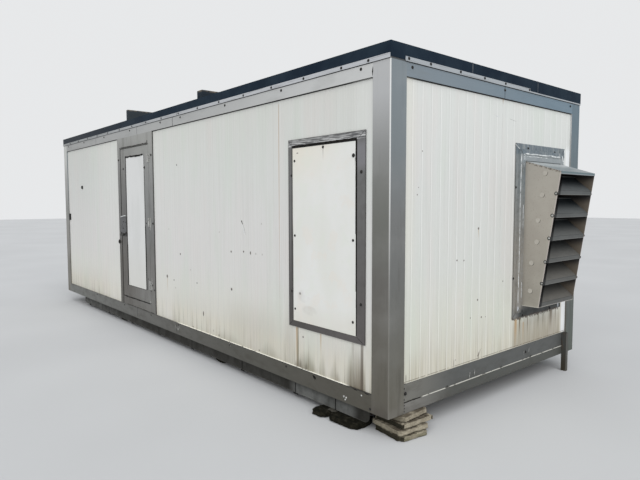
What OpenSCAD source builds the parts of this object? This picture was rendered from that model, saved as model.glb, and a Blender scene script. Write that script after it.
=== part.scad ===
/* [Cabin] */
// Length over the corner posts
cabin_l = 8000; // [7600:50:9500]
// Width over the corner posts
cabin_w = 2990; // [2900:10:3600]
// Height of the panel over the door, between the door's gap and the top rail
head_h = 150; // [105:5:450]
// Height of the stacked slabs that hold the frame off the ground
support_h = 180; // [160:5:300]

/* [Steel frame] */
// Face width of a corner post
post_w = 175; // [120:5:190]
// Radius of the folded outer corner of a post
post_r = 8; // [4:1:14]
// Thickness of the foot plate and the head plate of a post
post_plate_t = 10; // [6:1:16]
// Sheet thickness of the folded posts, rails and joists
steel_t = 4; // [3:0.5:6]
// Height of the return lip on a folded rail
rail_lip = 20; // [12:1:35]
// Height of the front and back bottom rails
rail_h = 145; // [120:5:170]
// Height of the bottom rails at the two ends
end_rail_h = 230; // [200:5:260]
// Height of the ledge along an end bottom rail
ledge_h = 83; // [50:1:120]
// How far that ledge stands out from the rail above it
ledge_d = 5; // [2:1:10]
// Height of the top rails that shows below the roof strip
top_rail_h = 107; // [80:1:150]

/* [Floor] */
// Thickness of the floor boards
deck_t = 22; // [15:1:35]
// Height of a floor joist
joist_h = 120; // [80:5:150]
// Width of a joist flange
joist_w = 50; // [35:1:80]
// Widest spacing of the joists
joist_pitch = 640; // [400:10:900]

/* [Skids] */
// Height of the skid channel under a long rail
skid_h = 125; // [70:5:130]
// How far the skid sits behind the face of the rail
skid_in = 55; // [30:1:65]
// Width of the skid flanges
skid_w = 60; // [40:1:90]
// Distance from the right-hand end to the end of the front skid
skid_end = 245; // [240:5:300]
// Distance from the right-hand end to the end of the back skid
skid_back = 380; // [360:5:500]
// Distance from the left-hand end to the ends of the skids
skid_far = 800; // [600:10:900]
// Distance from the right-hand end to the first skid joint
skid_joint_a = 646; // [560:2:700]
// Distance from the right-hand end to the second skid joint
skid_joint_b = 1195; // [1000:5:1300]
// Distance from the right-hand end to the third skid joint
skid_joint_c = 2100; // [1900:10:2300]
// Distance from the right-hand end to the fourth skid joint
skid_joint_d = 3215; // [2900:5:3400]
// Spacing of the other skid joints
skid_pitch = 935; // [800:5:1200]
// Open gap in the skid at a joint
skid_gap = 14; // [8:1:25]
// Width of the cleat behind a skid joint
cleat_w = 70; // [50:1:100]
// How far a cleat hangs below the skid
cleat_drop = 16; // [5:1:25]
// Radius of the rounded lower end of a skid
skid_r = 60; // [20:1:65]

/* [Supports] */
// Number of slabs in a corner stack
slab_count = 4; // [3:1:5]
// Length of a broken paving slab, along the cabin
slab_l = 335; // [300:5:340]
// Width of a broken paving slab, across the cabin
slab_w = 320; // [290:5:340]
// Size of the corners broken off a slab
slab_chip = 26; // [10:1:40]
// Shift of a slab on the one below
slab_shift = 20; // [5:1:25]
// Bedding gap between two slabs of a stack
bed_gap = 0.3; // [0.2:0.1:1]
// Distance from the end of the cabin to the middle of the front right stack
stack_near_x = 87; // [80:1:90]
// Distance from the face of the cabin to the middle of the front right stack
stack_near_y = 251; // [245:1:255]
// Distance from the end of the cabin to the middle of another stack
stack_far_x = 172; // [165:1:195]
// Distance from the face of the cabin to the middle of another stack
stack_far_y = 480; // [470:5:500]
// Length of a packing block under a skid
packer_l = 240; // [150:5:300]
// Width of a packing block under a skid
packer_w = 170; // [120:5:220]
// Number of skid lengths from one packing block to the next
packer_every = 3; // [2:1:5]
// Distance from the right-hand end to the long lump at the front
lump_x = 475; // [465:5:485]
// Length of that lump
lump_l = 345; // [250:5:350]
// Width of that lump
lump_w = 250; // [150:5:260]
// Distance from the front to the middle of that lump
lump_y = 68; // [65:1:110]
// Distance from that lump to the short lump beside it
lump_gap = 6; // [3:1:30]
// Face width of the steel leg at the back of the cowl end
leg_w = 42; // [36:1:60]
// Depth of that leg
leg_d = 52; // [30:1:60]
// Distance between that leg and the corner post
leg_gap = 48; // [20:1:60]

/* [Walls] */
// Thickness of a wall panel
wall_t = 60; // [45:1:90]
// How far the wall panels sit behind the face of the steel frame
wall_recess = 15; // [8:1:25]
// Spacing of the pressed grooves in a panel
groove_pitch = 115; // [60:1:200]
// Width of the flat bottom of a groove
groove_w = 8; // [4:1:20]
// Depth of a groove
groove_d = 1.2; // [0.6:0.1:3]
// Run of the sloping side of a groove
groove_side = 4; // [2:1:10]
// Open joint between two panels
panel_gap = 2; // [1:0.5:6]
// Distance from the right-hand end to the joint beside the window
joint_window = 1370; // [1300:5:1450]
// Distance from the right-hand end to the next joint
joint_middle = 2690; // [2400:5:2900]
// Distance from the right-hand end to the joint left of the door
joint_left = 6750; // [6200:10:7000]
// Distance from the cowl flange to the joint in the end wall
joint_cowl = 230; // [180:5:400]
// Widest panel of the back wall
back_panel_l = 1150; // [900:10:1400]

/* [Window and cowl openings] */
// Width over the window frame, and over the cowl flange
opening_w = 960; // [900:5:1000]
// Height over the window frame, and over the cowl flange
opening_h = 1655; // [1500:5:1800]
// Height of their lower edge above the underside of the frame
opening_z = 510; // [400:5:600]
// Thickness of the sheet that lines the window opening
lining_t = 3; // [2:0.5:5]
// Fitting gap round a piece that sits in an opening
fit = 0.3; // [0.2:0.1:0.8]

/* [Blanked window] */
// Distance from the right-hand end to the window frame
window_x = 255; // [230:5:280]
// How far the window frame stands out from the wall
window_out = 11; // [5:1:20]
// Width of the left-hand frame member
frame_left = 56; // [40:1:90]
// Width of the right-hand frame member
frame_right = 86; // [40:1:100]
// Width of the upper frame member
frame_top = 68; // [40:1:90]
// Width of the lower frame member
frame_bottom = 51; // [40:1:90]
// Thickness of the board that closes the window
board_t = 18; // [10:1:30]
// How far that board sits behind the face of the frame
board_recess = 4; // [1:1:8]

/* [Louvred cowl] */
// Distance from the back of the cabin to the middle of the cowl
cowl_in = 780; // [730:5:840]
// Thickness of the outer ring of the cowl flange
flange_t = 6; // [3:1:10]
// Width of that outer ring before the raised inner ring
flange_flat = 52; // [40:1:70]
// How far the raised inner ring stands out from the wall
flange_out = 24; // [15:1:35]
// Width of the collar that hugs the hood
collar_w = 7; // [4:1:12]
// How far that collar stands out from the wall
collar_out = 34; // [26:1:45]
// Width of the hood over its two cheeks
hood_w = 695; // [600:5:750]
// Height of the lower edge of the hood above the frame's underside
hood_z = 628; // [620:2:700]
// Height of the hood where it leaves the wall
hood_h = 1378; // [1200:2:1400]
// Depth of the hood at its upper edge
hood_upper_d = 360; // [300:5:450]
// Depth of the hood at its lower edge
hood_lower_d = 180; // [150:5:250]
// Fall of the hood roof from the wall to its front edge
hood_fall = 112; // [60:2:160]
// Rise of the hood floor from the wall to its front edge
hood_rise = 2; // [0:1:40]
// Sheet thickness of the hood and its blades
hood_t = 3; // [2:0.5:4]
// Height of the turned-down front lip of the hood roof
hood_lip = 24; // [15:1:35]
// Number of louvre blades
blade_count = 6; // [4:1:8]
// Depth of a louvre blade, level
blade_d = 165; // [120:5:175]
// Slope of a louvre blade
blade_angle = 40; // [25:1:45]
// Height of the turned-down front lip of a blade
blade_lip = 38; // [20:1:45]
// Height of the turned-up back edge of a blade
blade_back = 12; // [6:1:20]

/* [Door] */
// Distance from the right-hand end to the door frame
door_x = 4115; // [4000:5:4300]
// Width over the two stiles of the door frame
door_frame_w = 1220; // [1190:5:1260]
// Width of the frame stile on the hinge side
hinge_stile = 128; // [110:1:140]
// Width of the door leaf
leaf_w = 964; // [930:1:970]
// Height of the door leaf
leaf_h = 2111; // [2000:1:2120]
// Height of the foot of the leaf above the frame's underside
leaf_z = 272; // [260:1:300]
// Thickness of the door leaf
leaf_t = 40; // [30:1:44]
// Running gap round the door leaf
leaf_gap = 7; // [7:0.5:12]
// Width of the stop strips behind the leaf
stop_w = 20; // [16:1:30]
// Width of the leaf member that carries the lock
lock_member = 170; // [140:1:200]
// Width of the leaf member that carries the hinges
hinge_member = 147; // [120:1:180]
// Width of the leaf member along the top
top_member = 125; // [90:1:150]
// Width of the leaf member along the foot
foot_member = 162; // [120:1:200]
// Thickness of the white panel in the leaf
leaf_panel_t = 26; // [15:1:30]
// How far that panel sits behind the face of the leaf
leaf_panel_in = 5; // [2:1:10]
// Thickness of the head panel and the threshold panel
cover_t = 40; // [20:1:60]
// Depth of the drip strip above the leaf
drip_d = 14; // [8:1:25]

/* [Door furniture] */
// Height of the lowest hinge above the foot of the leaf
hinge_foot = 243; // [150:1:350]
// Depth of the highest hinge below the head of the leaf
hinge_head = 183; // [120:1:350]
// Height of a hinge
hinge_h = 112; // [80:2:150]
// Radius of a hinge barrel
barrel_r = 8; // [6:0.5:10]
// Radius of a hinge pin
pin_r = 4; // [3:0.5:5]
// Running clearance of a pin in its barrel
pin_fit = 0.3; // [0.2:0.1:0.6]
// Width of a hinge plate
plate_w = 46; // [30:1:60]
// Thickness of a hinge plate
plate_t = 3; // [2:0.5:4]
// Width of the lock plate on the leaf
lock_w = 162; // [120:1:168]
// Width of the part of it that laps over the stile
lock_lap = 64; // [20:1:90]
// Gap between that part and the stile
lap_gap = 1; // [0.5:0.1:1.5]
// Height of the lock plate
lock_h = 284; // [200:2:300]
// Thickness of the lock plate
lock_t = 4; // [2:0.5:6]
// Height of the lock plate's lower edge above the frame's underside
lock_z = 1135; // [1000:5:1200]
// Distance from the edge of the leaf to the lever's spindle
lever_in = 44; // [40:1:60]
// Height of the lever above the lower edge of the lock plate
lever_up = 24; // [22:1:60]
// Length of the lever
lever_l = 112; // [90:1:115]
// Radius of the rose behind the lever
rose_r = 20; // [14:1:22]
// Thickness of that rose
rose_t = 8; // [4:1:12]
// Radius of the lever and of its spindle
lever_r = 9; // [6:0.5:12]
// How far the lever's axis stands off the leaf
lever_off = 48; // [35:1:60]

/* [Roof] */
// Height of the strip that clamps the roof sheet
strip_h = 34; // [24:1:45]
// Thickness of that strip
strip_t = 3; // [2:0.5:5]
// Height of the roof edge above the strip
fascia_h = 87; // [70:1:120]
// Thickness of the roof sheet
sheet_t = 4; // [3:0.5:6]
// Thickness of the ceiling board
ceiling_t = 15; // [10:1:25]
// Distance from the front to the start of the end strip
end_strip_a = 155; // [100:5:200]
// Distance from the front to the torn end of the end strip
end_strip_b = 1940; // [1700:10:2200]
// Height of the lip that shows where the end strip is gone
lip_h = 12; // [6:1:18]
// Distance from the right-hand end to the nearer roof beam
beam_near_x = 2970; // [2500:10:3300]
// Distance from the right-hand end to the farther roof beam
beam_far_x = 5080; // [4500:10:5600]
// Width of the nearer roof beam
beam_near_w = 120; // [80:5:160]
// Height of the nearer roof beam
beam_near_h = 105; // [80:5:150]
// Width of the farther roof beam
beam_far_w = 60; // [40:5:90]
// Height of the farther roof beam
beam_far_h = 165; // [100:5:200]
// Distance from the roof edge to the end of a beam
beam_in = 50; // [20:5:100]

/* [Wall fittings] */
// Distance from the left-hand end to the middle of the round vent
vent_x = 960; // [700:5:1100]
// Height of the vent above the frame's underside
vent_z = 1880; // [1700:5:2100]
// Radius of the vent cap
vent_r = 27; // [20:1:50]
// How far the vent cap stands out
vent_out = 14; // [8:1:25]
// Gap between the left-hand front post and the cable inlet
inlet_gap = 44; // [5:1:60]
// Height of the inlet's lower edge above the frame's underside
inlet_z = 1310; // [1100:5:1400]
// Width of the cable inlet
inlet_w = 40; // [30:1:90]
// Height of the cable inlet
inlet_h = 112; // [60:2:220]
// How far the cable inlet stands out
inlet_out = 20; // [15:1:80]

/* [Hidden] */
$fn = 48;

rail_d = wall_recess + wall_t;
frame_z = support_h;
rail_top = frame_z + rail_h;
floor_z = frame_z + end_rail_h;
leaf_foot = frame_z + leaf_z;
leaf_top = leaf_foot + leaf_h;
wall_top = leaf_top + leaf_gap + head_h;
wall_h = wall_top - rail_top;
strip_z = wall_top + top_rail_h;
ring_top = strip_z + strip_h;
roof_top = ring_top + fascia_h;
end_wall_h = wall_top - floor_z;
ring_h = ring_top - wall_top;
skirt_gap = strip_h / 4;
slab_t = support_h / slab_count;
window_right = cabin_l - window_x;
cowl_y = cabin_w - cowl_in;
cowl_front = cowl_y - opening_w / 2;
cowl_joint = cowl_front - joint_cowl;
opening_low = frame_z + opening_z;
hood_low = frame_z + hood_z;
hood_top = hood_low + hood_h;
nose_top = hood_top - hood_fall;
nose_low = hood_low + hood_rise;
board_w = opening_w - frame_left - frame_right;
board_h = opening_h - frame_top - frame_bottom;
door_right = cabin_l - door_x;
door_left = door_right - door_frame_w;
leaf_right = door_right - hinge_stile - leaf_gap;
leaf_left = leaf_right - leaf_w;
hinge_low = leaf_foot + hinge_foot;
hinge_high = leaf_top - hinge_head;
hinge_heights = [hinge_low, (hinge_low + hinge_high) / 2, hinge_high];
hinge_x = leaf_right + leaf_gap / 2;
hinge_y = -(barrel_r + 1);
skid_z = frame_z - skid_h;

// Puts the cabin, drawn from its front left corner, with the middle of its box on the origin
module place() {
    translate([-(cabin_l + hood_upper_d) / 2, -cabin_w / 2, 0]) children();
}

// Turns a shape drawn at the front or at the left end round to the opposite side
module at_back() {
    translate([0, cabin_w, 0]) mirror([0, 1, 0]) children();
}
module at_right() {
    translate([cabin_l, 0, 0]) mirror([1, 0, 0]) children();
}

// Outline drawn in depth and height, pulled along the cabin
module along_x(l) {
    rotate([90, 0, 90]) linear_extrude(l) children();
}
// Outline drawn in length and height, pulled across the cabin
module along_y(l) {
    translate([0, l, 0]) rotate([90, 0, 0]) linear_extrude(l) children();
}
// Swaps length and width, for an end wall drawn as a front wall
module end_side() {
    mirror([1, -1, 0]) children();
}

// Corner post: a closed L of folded sheet with a rounded outer corner
module l_outline(in) {
    polygon([[in, in], [post_w - in, in], [post_w - in, rail_d - in], [rail_d - in, rail_d - in],
        [rail_d - in, post_w - in], [in, post_w - in]]);
}
module post_outline() {
    difference() {
        l_outline(0);
        difference() {
            translate([-1, -1]) square(post_r + 1);
            translate([post_r, post_r]) circle(post_r);
        }
    }
}
module post() {
    h = ring_top - frame_z;
    translate([0, 0, frame_z]) {
        linear_extrude(h) difference() {
            post_outline();
            l_outline(steel_t);
        }
        linear_extrude(post_plate_t) post_outline();
        translate([0, 0, h - post_plate_t]) linear_extrude(post_plate_t) post_outline();
    }
}

// Folded rail: web outside, two flanges and two return lips; step sets its upper part back
module rail_outline(h, step = 0) {
    low = step > 0 ? ledge_h : h / 2;
    polygon([[0, 0], [rail_d, 0], [rail_d, rail_lip], [rail_d - steel_t, rail_lip],
        [rail_d - steel_t, steel_t], [steel_t, steel_t], [steel_t, low - steel_t],
        [steel_t + step, low - steel_t], [steel_t + step, h - steel_t],
        [rail_d - steel_t, h - steel_t], [rail_d - steel_t, h - rail_lip],
        [rail_d, h - rail_lip], [rail_d, h], [step, h], [step, low], [0, low]]);
}
module long_rail(z, h) {
    translate([post_w, 0, z]) along_x(cabin_l - 2 * post_w) rail_outline(h);
}
module end_rail(z, h, step) {
    translate([0, post_w, z]) along_y(cabin_w - 2 * post_w) rail_outline(h, step);
}

// Plan of one wall panel: flat inside, pressed grooves outside
module panel_plan(l) {
    n = floor(l / groove_pitch);
    start = (l - n * groove_pitch) / 2 + groove_pitch / 2 - groove_side - groove_w / 2;
    grooves = [for (i = [0:n - 1]) each [
        [start + i * groove_pitch, 0],
        [start + i * groove_pitch + groove_side, groove_d],
        [start + i * groove_pitch + groove_side + groove_w, groove_d],
        [start + i * groove_pitch + 2 * groove_side + groove_w, 0]]];
    polygon(concat([[0, wall_t], [0, 0]], grooves, [[l, 0], [l, wall_t]]));
}
// Wall panel with its outer face towards the front
module panel(x0, x1, z, h) {
    translate([x0, wall_recess, z]) linear_extrude(h) panel_plan(x1 - x0);
}

// Stack of broken slabs from below: shift outwards, shift inwards across, length, width and turn
slab_rows = [[0.68, -1.1, 0.955, 0.89, 7], [-0.13, -0.66, 1, 0.953, 7],
    [0.33, 1.06, 0.896, 1.047, 2.6], [-0.56, 0.68, 0.836, 1, -4.5], [0, 0.5, 0.9, 0.9, 3]];
module slab(l, w, turn, chip) {
    linear_extrude(slab_t - bed_gap) rotate(turn) polygon([[-l, -w + chip], [-l + chip, -w],
        [l - chip / 3, -w], [l, -w + chip / 2], [l, w - chip], [l - chip / 2, w],
        [-l + chip / 2, w], [-l, w - chip / 3]]);
}
module slab_stack(x, y, by) {
    for (i = [0:slab_count - 1]) {
        row = slab_rows[i];
        translate([x - by * slab_shift * row[0], y + by * slab_shift * row[1], i * slab_t])
            slab(slab_l * row[2] / 2, slab_w * row[3] / 2, by * row[4],
                slab_chip * (1 + cos(110 * i) / 2));
    }
}

// Broken block that packs a skid off the ground
module packer(l, w, h, turn) {
    linear_extrude(h) rotate(turn) polygon([[-l / 2, -w / 4], [-l * 3 / 8, -w / 2], [l / 4, -w / 2],
        [l * 0.47, -w * 0.36], [l / 2, w / 6], [l * 2 / 5, w / 2], [-l / 3, w / 2]]);
}

// Skid: channel lengths with open joints, backed by hanging cleats
function skid_joints() = concat([skid_joint_a, skid_joint_b, skid_joint_c],
    [for (d = [skid_joint_d : skid_pitch : cabin_l - skid_far - skid_pitch / 4]) d]);
// Middles of the skid lengths between its ends and joints
function skid_middles() = let (stops = concat([skid_end], skid_joints(), [cabin_l - skid_far]))
    [for (i = [1:len(stops) - 1]) (stops[i - 1] + stops[i]) / 2];
module skid_outline() {
    polygon([[0, 0], [skid_w, 0], [skid_w, steel_t], [steel_t, steel_t], [steel_t, skid_h - steel_t],
        [skid_w, skid_h - steel_t], [skid_w, skid_h], [0, skid_h]]);
}
module skid_end_cut() {
    difference() {
        translate([-1, -1]) square([skid_r + 1, skid_r + 1]);
        translate([skid_r, skid_r]) circle(skid_r);
    }
}
module skid(end) {
    l = cabin_l - end - skid_far;
    difference() {
        translate([skid_far, skid_in, skid_z]) along_x(l) skid_outline();
        for (d = skid_joints())
            translate([cabin_l - d - skid_gap / 2, skid_in - 1, skid_z - 1])
                cube([skid_gap, skid_w + 2, skid_h - steel_t + 1]);
        translate([cabin_l - end, skid_in - 1, skid_z]) mirror([1, 0, 0])
            along_y(skid_w + 2) skid_end_cut();
        translate([skid_far, skid_in - 1, skid_z]) along_y(skid_w + 2) skid_end_cut();
    }
    for (d = skid_joints())
        translate([cabin_l - d - cleat_w / 2, skid_in + steel_t, skid_z - cleat_drop])
            cube([cleat_w, steel_t, skid_h - steel_t + cleat_drop]);
}

// Window frame: ring on the wall face and a lining through the panel
module window_hole(grow) {
    translate([window_right - opening_w + frame_left - grow, 0, opening_low + frame_bottom - grow])
        square_y(board_w + 2 * grow, board_h + 2 * grow);
}
module square_y(w, h) {
    translate([0, -window_out, 0]) cube([w, rail_d + 2 * window_out, h]);
}

// Cowl outlines are drawn in reach from the frame's face and height
module hood_outline() {
    polygon([[-rail_d, hood_low], [0, hood_low], [hood_lower_d, nose_low],
        [hood_upper_d, nose_top], [0, hood_top], [-rail_d, hood_top]]);
}
module hood_inside() {
    past = 60;
    fall = hood_fall / hood_upper_d;
    rise = hood_rise / hood_lower_d;
    roof_t = hood_t * sqrt(1 + fall * fall);
    polygon([[-rail_d - 1, hood_low + hood_t], [0, hood_low + hood_t],
        [hood_lower_d + past, hood_low + hood_t + rise * (hood_lower_d + past)],
        [hood_upper_d + past, hood_top - roof_t - fall * (hood_upper_d + past)],
        [0, hood_top - roof_t], [-rail_d - 1, hood_top - roof_t]]);
}
// Louvre blade: sloping plate, front lip turned down, back edge turned up
module blade_outline() {
    up = tan(blade_angle);
    back = blade_lip + blade_d * up;
    skin = hood_t / cos(blade_angle);
    polygon([[0, 0], [0, blade_lip], [hood_t - blade_d, back - hood_t * up],
        [hood_t - blade_d, back - hood_t * up + blade_back],
        [-blade_d, back - hood_t * up + blade_back], [-blade_d, back - skin],
        [-hood_t, blade_lip + hood_t * up - skin], [-hood_t, 0]]);
}
// Ring of the cowl flange, inset from its outer edge
module flange_ring(inset, reach) {
    translate([cabin_l - wall_recess, cowl_front + inset, opening_low + inset])
        cube([reach, opening_w - 2 * inset, opening_h - 2 * inset]);
}
// Room for the hood through the flange and the wall
module hood_room() {
    translate([cabin_l - rail_d - 1, cowl_y - hood_w / 2 - fit, hood_low - fit])
        cube([rail_d + collar_out, hood_w + 2 * fit, hood_h + 2 * fit]);
}

// Plan of one hinge half round the pin, on the leaf's side, and of its plate beside the other half
module hinge_half() {
    circle(barrel_r);
    translate([-plate_w - leaf_gap / 2, -hinge_y - plate_t]) square([plate_w, plate_t]);
}
module hinge_tail() {
    translate([-plate_w - leaf_gap / 2, -hinge_y - plate_t])
        square([plate_w + leaf_gap / 2 - barrel_r - 1, plate_t]);
}

module stack_front_right() {
    color("#9c9686") place() at_right() slab_stack(stack_near_x, stack_near_y, 1);
}
module stack_front_left() {
    color("#9c9686") place() slab_stack(stack_far_x, stack_far_y, -0.5);
}
module stack_back_left() {
    color("#9c9686") place() at_back() slab_stack(stack_far_x, stack_far_y, -0.5);
}

module skid_packers() {
    middles = skid_middles();
    short = lump_l / 2;
    cleat_room = 4;
    color("#3c3a34") place() {
        difference() {
            union() {
                translate([cabin_l - lump_x, lump_y, 0])
                    packer(lump_l, lump_w, skid_z - bed_gap, 2);
                translate([cabin_l - lump_x - (lump_l + short) / 2 - lump_gap, lump_y - 18, 0])
                    packer(short, lump_w, skid_z - bed_gap, 0);
            }
            translate([cabin_l - skid_joint_a - cleat_w / 2 - cleat_room, skid_in,
                skid_z - cleat_drop - bed_gap])
                cube([cleat_w + 2 * cleat_room, 2 * steel_t + cleat_room, cleat_drop + 1]);
        }
        for (i = [0:packer_every:len(middles) - 2]) translate([cabin_l - middles[i], 0, 0]) {
            if (i > 0) translate([0, skid_in + skid_w + packer_w / 2 - 20, 0])
                packer(packer_l, packer_w, skid_z - bed_gap, 12 * sin(200 * i + 50));
            translate([0, cabin_w - skid_in - skid_w, 0])
                packer(packer_l, packer_w, skid_z - bed_gap, 14 * cos(170 * i));
        }
    }
}

module back_right_leg() {
    color("#5f605f") place() translate([cabin_l, cabin_w - post_w - leg_gap - leg_w, 0])
        linear_extrude(floor_z) difference() {
            square([leg_d, leg_w]);
            translate([-1, steel_t]) square([leg_d - steel_t + 1, leg_w - 2 * steel_t]);
        }
}

module front_skid() {
    color("#6c6e6e") place() skid(skid_end);
}
module back_skid() {
    color("#6c6e6e") place() at_back() skid(skid_back);
}

module front_bottom_rail() {
    color("#8b8c8a") place() long_rail(frame_z, rail_h);
}
module back_bottom_rail() {
    color("#8b8c8a") place() at_back() long_rail(frame_z, rail_h);
}
module left_bottom_rail() {
    color("#8b8c8a") place() end_rail(frame_z, end_rail_h, ledge_d);
}
module right_bottom_rail() {
    color("#8b8c8a") place() at_right() end_rail(frame_z, end_rail_h, ledge_d);
}

module floor_joists() {
    run = cabin_l - 2 * post_w - joist_w;
    n = ceil(run / joist_pitch);
    color("#7a7c7c") place() for (i = [0:n])
        translate([post_w + i * run / n, rail_d, floor_z - deck_t - joist_h])
            along_y(cabin_w - 2 * rail_d) difference() {
                square([joist_w, joist_h]);
                translate([steel_t, steel_t]) square([joist_w, joist_h - 2 * steel_t]);
            }
}
module floor_deck() {
    color("#9a8160") place() translate([rail_d, rail_d, floor_z - deck_t])
        cube([cabin_l - 2 * rail_d, cabin_w - 2 * rail_d, deck_t]);
}

module post_front_right() {
    color("#858a8e") place() at_right() post();
}
module post_front_left() {
    color("#858a8e") place() post();
}
module post_back_right() {
    color("#858a8e") place() at_back() at_right() post();
}
module post_back_left() {
    color("#858a8e") place() at_back() post();
}

module front_top_rail() {
    color("#9a9b99") place() long_rail(wall_top, ring_h);
}
module back_top_rail() {
    color("#9a9b99") place() at_back() long_rail(wall_top, ring_h);
}
module left_top_rail() {
    color("#83898e") place() end_rail(wall_top, ring_h, 0);
}
module right_top_rail() {
    color("#83898e") place() at_right() end_rail(wall_top, ring_h, 0);
}

module ceiling_board() {
    color("#d8d4c8") place() translate([rail_d, rail_d, wall_top])
        cube([cabin_l - 2 * rail_d, cabin_w - 2 * rail_d, ceiling_t]);
}
module roof_deck() {
    color("#b09870") place() translate([0, 0, ring_top])
        cube([cabin_l, cabin_w, fascia_h - sheet_t]);
}
module roof_sheet() {
    skirt_z = strip_z + skirt_gap;
    color("#27303c") place() difference() {
        translate([-sheet_t, -sheet_t, skirt_z])
            cube([cabin_l + 2 * sheet_t, cabin_w + 2 * sheet_t, roof_top - skirt_z]);
        translate([0, 0, skirt_z - 1]) cube([cabin_l, cabin_w, roof_top - sheet_t - skirt_z + 1]);
    }
}
module roof_strips() {
    out = sheet_t + strip_t;
    color("#cfd0cd") place() translate([0, 0, strip_z]) {
        translate([0, -out, 0]) cube([cabin_l, strip_t, strip_h]);
        translate([0, cabin_w + sheet_t, 0]) cube([cabin_l, strip_t, strip_h]);
        translate([-out, 0, 0]) cube([strip_t, cabin_w, strip_h]);
        translate([cabin_l + sheet_t, end_strip_a, 0])
            cube([strip_t, end_strip_b - end_strip_a, strip_h]);
        translate([cabin_l + sheet_t, end_strip_b, 0])
            cube([strip_t, cabin_w - end_strip_b, lip_h]);
    }
}
module roof_beams() {
    l = cabin_w - 2 * beam_in;
    edge = 6;
    color("#2e3238") place() translate([0, beam_in, roof_top]) {
        translate([cabin_l - beam_near_x, 0, 0]) along_y(l) polygon([[0, 0], [beam_near_w, 0],
            [beam_near_w, beam_near_h - edge], [beam_near_w - edge, beam_near_h],
            [edge, beam_near_h], [0, beam_near_h - edge]]);
        translate([cabin_l - beam_far_x, 0, 0]) along_y(l) polygon([[0, 0], [beam_far_w, 0],
            [beam_far_w, beam_far_h - edge], [beam_far_w - edge, beam_far_h],
            [edge, beam_far_h], [0, beam_far_h - edge]]);
    }
}

module front_wall_left() {
    joint = cabin_l - joint_left;
    color("#d9dbd3") place() {
        panel(post_w, joint - panel_gap / 2, rail_top, wall_h);
        panel(joint + panel_gap / 2, door_left, rail_top, wall_h);
    }
}
module front_wall_middle() {
    joint = cabin_l - joint_middle;
    color("#d9dbd3") place() {
        panel(door_right, joint - panel_gap / 2, rail_top, wall_h);
        panel(joint + panel_gap / 2, cabin_l - joint_window - panel_gap / 2, rail_top, wall_h);
    }
}
module window_wall() {
    color("#d9dbd3") place() difference() {
        panel(cabin_l - joint_window + panel_gap / 2, cabin_l - post_w, rail_top, wall_h);
        window_hole(lining_t);
    }
}
module back_wall() {
    run = cabin_l - 2 * post_w;
    n = ceil(run / back_panel_l);
    color("#d9dbd3") place() at_back() for (i = [0:n - 1])
        panel(post_w + i * run / n + (i > 0 ? panel_gap / 2 : 0),
            post_w + (i + 1) * run / n - (i < n - 1 ? panel_gap / 2 : 0), rail_top, wall_h);
}
module left_wall() {
    color("#d9dbd3") place() end_side() {
        panel(post_w, (cabin_w - panel_gap) / 2, floor_z, end_wall_h);
        panel((cabin_w + panel_gap) / 2, cabin_w - post_w, floor_z, end_wall_h);
    }
}
module right_wall() {
    color("#dcddd6") place() at_right() end_side()
        panel(post_w, cowl_joint - panel_gap / 2, floor_z, end_wall_h);
}
module cowl_wall() {
    color("#dcddd6") place() difference() {
        at_right() end_side()
            panel(cowl_joint + panel_gap / 2, cabin_w - post_w, floor_z, end_wall_h);
        hood_room();
    }
}

module window_frame() {
    face = wall_recess - window_out;
    color("#77797a") place() difference() {
        union() {
            translate([window_right - opening_w, face, opening_low])
                cube([opening_w, window_out, opening_h]);
            translate([window_right - opening_w + frame_left - lining_t, face,
                opening_low + frame_bottom - lining_t])
                cube([board_w + 2 * lining_t, window_out + wall_t, board_h + 2 * lining_t]);
        }
        window_hole(0);
    }
}
module window_board() {
    color("#e4e1d8") place() translate([window_right - opening_w + frame_left + fit,
        wall_recess - window_out + board_recess, opening_low + frame_bottom + fit])
        cube([board_w - 2 * fit, board_t, board_h - 2 * fit]);
}

module cowl_flange() {
    color("#7e868c") place() difference() {
        union() {
            flange_ring(0, flange_t);
            flange_ring(flange_flat, flange_out);
            translate([cabin_l - wall_recess, cowl_y - hood_w / 2 - collar_w, hood_low - collar_w])
                cube([collar_out, hood_w + 2 * collar_w, hood_h + 2 * collar_w]);
        }
        hood_room();
    }
}
module cowl_hood() {
    color("#a09585") place() translate([cabin_l, cowl_y - hood_w / 2, 0]) {
        difference() {
            along_y(hood_w) hood_outline();
            translate([0, hood_t, 0]) along_y(hood_w - 2 * hood_t) hood_inside();
        }
        translate([hood_upper_d - hood_t, hood_t / 2, nose_top - hood_lip])
            cube([hood_t, hood_w - hood_t, hood_lip - hood_t / 2]);
    }
}
module cowl_blades() {
    color("#54575a") place() translate([cabin_l, cowl_y - hood_w / 2 + hood_t, 0])
        for (i = [1:blade_count]) {
            part = i / blade_count;
            translate([hood_upper_d + (hood_lower_d - hood_upper_d) * part, 0,
                nose_top + (nose_low + hood_t - nose_top) * part])
                along_y(hood_w - 2 * hood_t) blade_outline();
        }
}

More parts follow.
